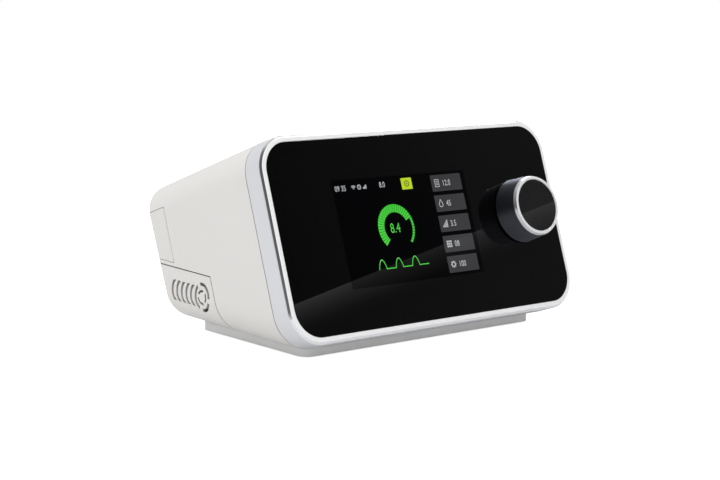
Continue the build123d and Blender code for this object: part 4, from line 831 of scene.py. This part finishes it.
# %% Symbols on the tiles
ICON_X = 14.4
SMALL_CORNER, SMALL_STEPS = 0.1, 2
PAGE_HALF_X, PAGE_HALF_RISE, PAGE_EDGE = 1.5, 2, 0.35
TEXT_HALF, TEXT_LIFTS, TEXT_WIDTH = 0.8, (-0.9, 0, 0.9), 0.3
BULB_SINK, BULB_INNER, BULB_OUTER, BULB_FROM, BULB_TO = 0.6, 1.15, 1.55, 130, 410
TIP_HALF, TIP_FOOT, TIP_TOP, TIP_WIDTH = 1.05, 0.35, 2.1, 0.38
BARS_LEFT, BARS_FOOT, BAR_WIDTH, BAR_HEIGHTS = 1.8, 2.1, 0.65, (1.2, 2.2, 3.2, 4.2)
GRID_PITCH, GRID_HALF = 1.35, 0.5
GEAR_TEETH, GEAR_INNER, GEAR_OUTER = 8, 0.9, 1.45
TOOTH_FROM, TOOTH_TO, TOOTH_WIDTH = 1.5, 1.75, 0.55

page, drop, bars, grid, gear = tile_rises
left, right = ICON_X - PAGE_HALF_X, ICON_X + PAGE_HALF_X
foot, top = page - PAGE_HALF_RISE, page + PAGE_HALF_RISE
symbols = stroke([(left, foot), (left, top), (right, top), (right, foot), (left, foot)], PAGE_EDGE)
for lift in TEXT_LIFTS:
    symbols += stroke([(ICON_X - TEXT_HALF, page + lift), (ICON_X + TEXT_HALF, page + lift)],
                      TEXT_WIDTH)

symbols.append(arc_band(ICON_X, drop - BULB_SINK, BULB_INNER, BULB_OUTER, BULB_FROM, BULB_TO))
symbols += stroke([(ICON_X - TIP_HALF, drop + TIP_FOOT), (ICON_X, drop + TIP_TOP),
                   (ICON_X + TIP_HALF, drop + TIP_FOOT)], TIP_WIDTH)

for step, height in enumerate(BAR_HEIGHTS):
    left, foot = ICON_X - BARS_LEFT + step, bars - BARS_FOOT
    symbols.append(tile(left, foot, left + BAR_WIDTH, foot + height, SMALL_CORNER, SMALL_STEPS))

for column in (-GRID_PITCH, 0, GRID_PITCH):
    for row in (-GRID_PITCH, 0, GRID_PITCH):
        x, rise = ICON_X + column, grid + row
        symbols.append(tile(x - GRID_HALF, rise - GRID_HALF, x + GRID_HALF, rise + GRID_HALF,
                            SMALL_CORNER, SMALL_STEPS))

symbols.append(arc_band(ICON_X, gear, GEAR_INNER, GEAR_OUTER, 0, ALL_ROUND, 32))
for tooth in range(GEAR_TEETH):
    turn = 2 * math.pi * tooth / GEAR_TEETH
    symbols += stroke([(ICON_X + reach * math.cos(turn), gear + reach * math.sin(turn))
                       for reach in (TOOTH_FROM, TOOTH_TO)], TOOTH_WIDTH)
plates("screen_symbols", symbols, MARK_HEIGHTS, lights["pale"])

# %% [markdown]
# The clock and the readings are numbers only. Blender's own font gives clean digits: each text
# is a curve that is turned into a mesh, scaled to its height and laid on the plane of the glass.

# %% Numbers
DIGIT_SIZE, DIGIT_SQUEEZE, DIGIT_HALF_DEPTH, DIGIT_HEIGHT = 1.35, 0.8, 0.006, 0.038
MERGE_DISTANCE = 1e-8


def number_outline(text, x, rise, height):
    """A text as a filled mesh on the glass, its left end at x and its foot at rise."""
    curve = bpy.data.curves.new("digits", "FONT")
    curve.body = text
    curve.size = height * DIGIT_SIZE
    curve.extrude = DIGIT_HALF_DEPTH
    curve.resolution_u = 3
    holder = bpy.data.objects.new("digits", curve)
    data = bpy.data.meshes.new_from_object(holder)
    for vertex in data.vertices:
        across, up, out = vertex.co
        vertex.co = on_front(x + across * DIGIT_SQUEEZE, rise + up, DIGIT_HEIGHT + out)
    bpy.data.objects.remove(holder)
    bpy.data.curves.remove(curve)
    return data


def number_piece(name, texts, finish):
    """All texts of one colour as a single piece. A text is (digits, x, rise, height)."""
    joined = bmesh.new()
    for text, x, rise, height in texts:
        joined.from_mesh(number_outline(text, x, rise, height))
    bmesh.ops.remove_doubles(joined, verts=joined.verts, dist=MERGE_DISTANCE)
    piece = keep_mesh(name, joined, "housing")
    piece.data.materials.append(finish)
    return piece


READING_X, READING_DROP, READING_HEIGHT = 18.4, 1.7, 3.4
numbers = [(text, READING_X, rise - READING_DROP, READING_HEIGHT)
           for text, rise in zip(("12.0", "45", "3.5", "08", "100"), tile_rises)]
numbers += [("09 35", -59.8, 75.0, 3.2), ("8.0", -28.2, 75.2, 3.2)]
number_piece("screen_numbers", numbers, lights["pale"])

# %% [markdown]
# The status line holds a sign for a wireless link, a small clock and signal bars. A lime badge
# beside them carries a ring with a dot, as a plain mark that therapy is on.

# %% Status marks
LINK_X, LINK_RISE, LINK_FROM, LINK_TO = -46.6, 75.4, 45, 135
LINK_ARCS = ((DOT_CENTRE, 0.5), (0.9, 1.3), (1.8, 2.2))
CLOCK_X, CLOCK_RISE, CLOCK_INNER, CLOCK_OUTER, HAND_WIDTH = -42.6, 76.5, 0.95, 1.35, 0.25
SIGNAL_X, SIGNAL_RISE, SIGNAL_PITCH, SIGNAL_WIDTH, SIGNAL_CORNER = -39.9, 75.3, 0.9, 0.6, 0.08
SIGNAL_HEIGHTS = (0.8, 1.5, 2.2)
BADGE, BADGE_CORNER = (-12.0, 72.9, -4.2, 79.3), 0.5
BADGE_INNER, BADGE_OUTER, BADGE_DOT = 1.25, 1.75, 0.5

status = [arc_band(LINK_X, LINK_RISE, inner, outer, LINK_FROM, LINK_TO, 8)
          for inner, outer in LINK_ARCS]
status.append(arc_band(CLOCK_X, CLOCK_RISE, CLOCK_INNER, CLOCK_OUTER, 0, ALL_ROUND, 32))
status += stroke([(CLOCK_X, CLOCK_RISE + 0.7), (CLOCK_X, CLOCK_RISE),
                  (CLOCK_X + 0.5, CLOCK_RISE - 0.3)], HAND_WIDTH)
for step, height in enumerate(SIGNAL_HEIGHTS):
    left = SIGNAL_X + step * SIGNAL_PITCH
    status.append(tile(left, SIGNAL_RISE, left + SIGNAL_WIDTH, SIGNAL_RISE + height,
                       SIGNAL_CORNER, SMALL_STEPS))
plates("screen_status", status, MARK_HEIGHTS, lights["pale"])

plates("screen_badge", [tile(*BADGE, corner=BADGE_CORNER)], TILE_HEIGHTS, lights["lime"])
badge_x, badge_rise = (BADGE[0] + BADGE[2]) / 2, (BADGE[1] + BADGE[3]) / 2
badge_marks = [arc_band(badge_x, badge_rise, BADGE_INNER, BADGE_OUTER, 0, ALL_ROUND, 32),
               arc_band(badge_x, badge_rise, DOT_CENTRE, BADGE_DOT, 0, ALL_ROUND, 16)]
plates("screen_badge_mark", badge_marks, MARK_HEIGHTS, lights["olive"])

# %% [markdown]
# The gauge fills most of the screen's middle. Its ring has 36 short pieces: the wide ones show
# how much pressure is given and the narrow ones what is left. A number stands in its middle,
# and the curve below it shows three breaths.

# %% Ring gauge and curve
GAUGE_X, GAUGE_RISE = -22.0, 52.5
GAUGE_OUTER, WIDE_INNER, NARROW_INNER = 13.0, 8.6, 11.6
GAUGE_PIECES, WIDE_PIECES, PIECE_PITCH, PIECE_SPAN, GAUGE_START = 36, 27, 7.5, 6.3, 225
BREATHS, CURVE_STEPS, BREATH_IN, ROUNDNESS = 3, 60, 0.45, 0.7
CURVE_X, CURVE_FOOT, CURVE_LENGTH, CURVE_LIFT, CURVE_WIDTH = -40.0, 31.0, 36.0, 5.0, 0.5
MIDDLE_LEFT, MIDDLE_DROP, MIDDLE_HEIGHT = 4.6, 2.6, 5.6

gauge = []
for number in range(GAUGE_PIECES):
    inner = WIDE_INNER if number < WIDE_PIECES else NARROW_INNER
    start = GAUGE_START - number * PIECE_PITCH
    gauge.append(arc_band(GAUGE_X, GAUGE_RISE, inner, GAUGE_OUTER, start - PIECE_SPAN, start, 6))
plates("screen_gauge", gauge, MARK_HEIGHTS, lights["green"])

curve_points = []
for step in range(CURVE_STEPS + 1):
    share = step / CURVE_STEPS
    breath = (share * BREATHS) % 1.0
    lift = math.sin(math.pi * (breath / BREATH_IN)) ** ROUNDNESS if breath < BREATH_IN else 0.0
    curve_points.append((CURVE_X + CURVE_LENGTH * share, CURVE_FOOT + CURVE_LIFT * lift))
plates("screen_curve", stroke(curve_points, CURVE_WIDTH), MARK_HEIGHTS, lights["green"])
middle_number = ("8.4", GAUGE_X - MIDDLE_LEFT, GAUGE_RISE - MIDDLE_DROP, MIDDLE_HEIGHT)
number_piece("screen_gauge_numbers", [middle_number], lights["green"])
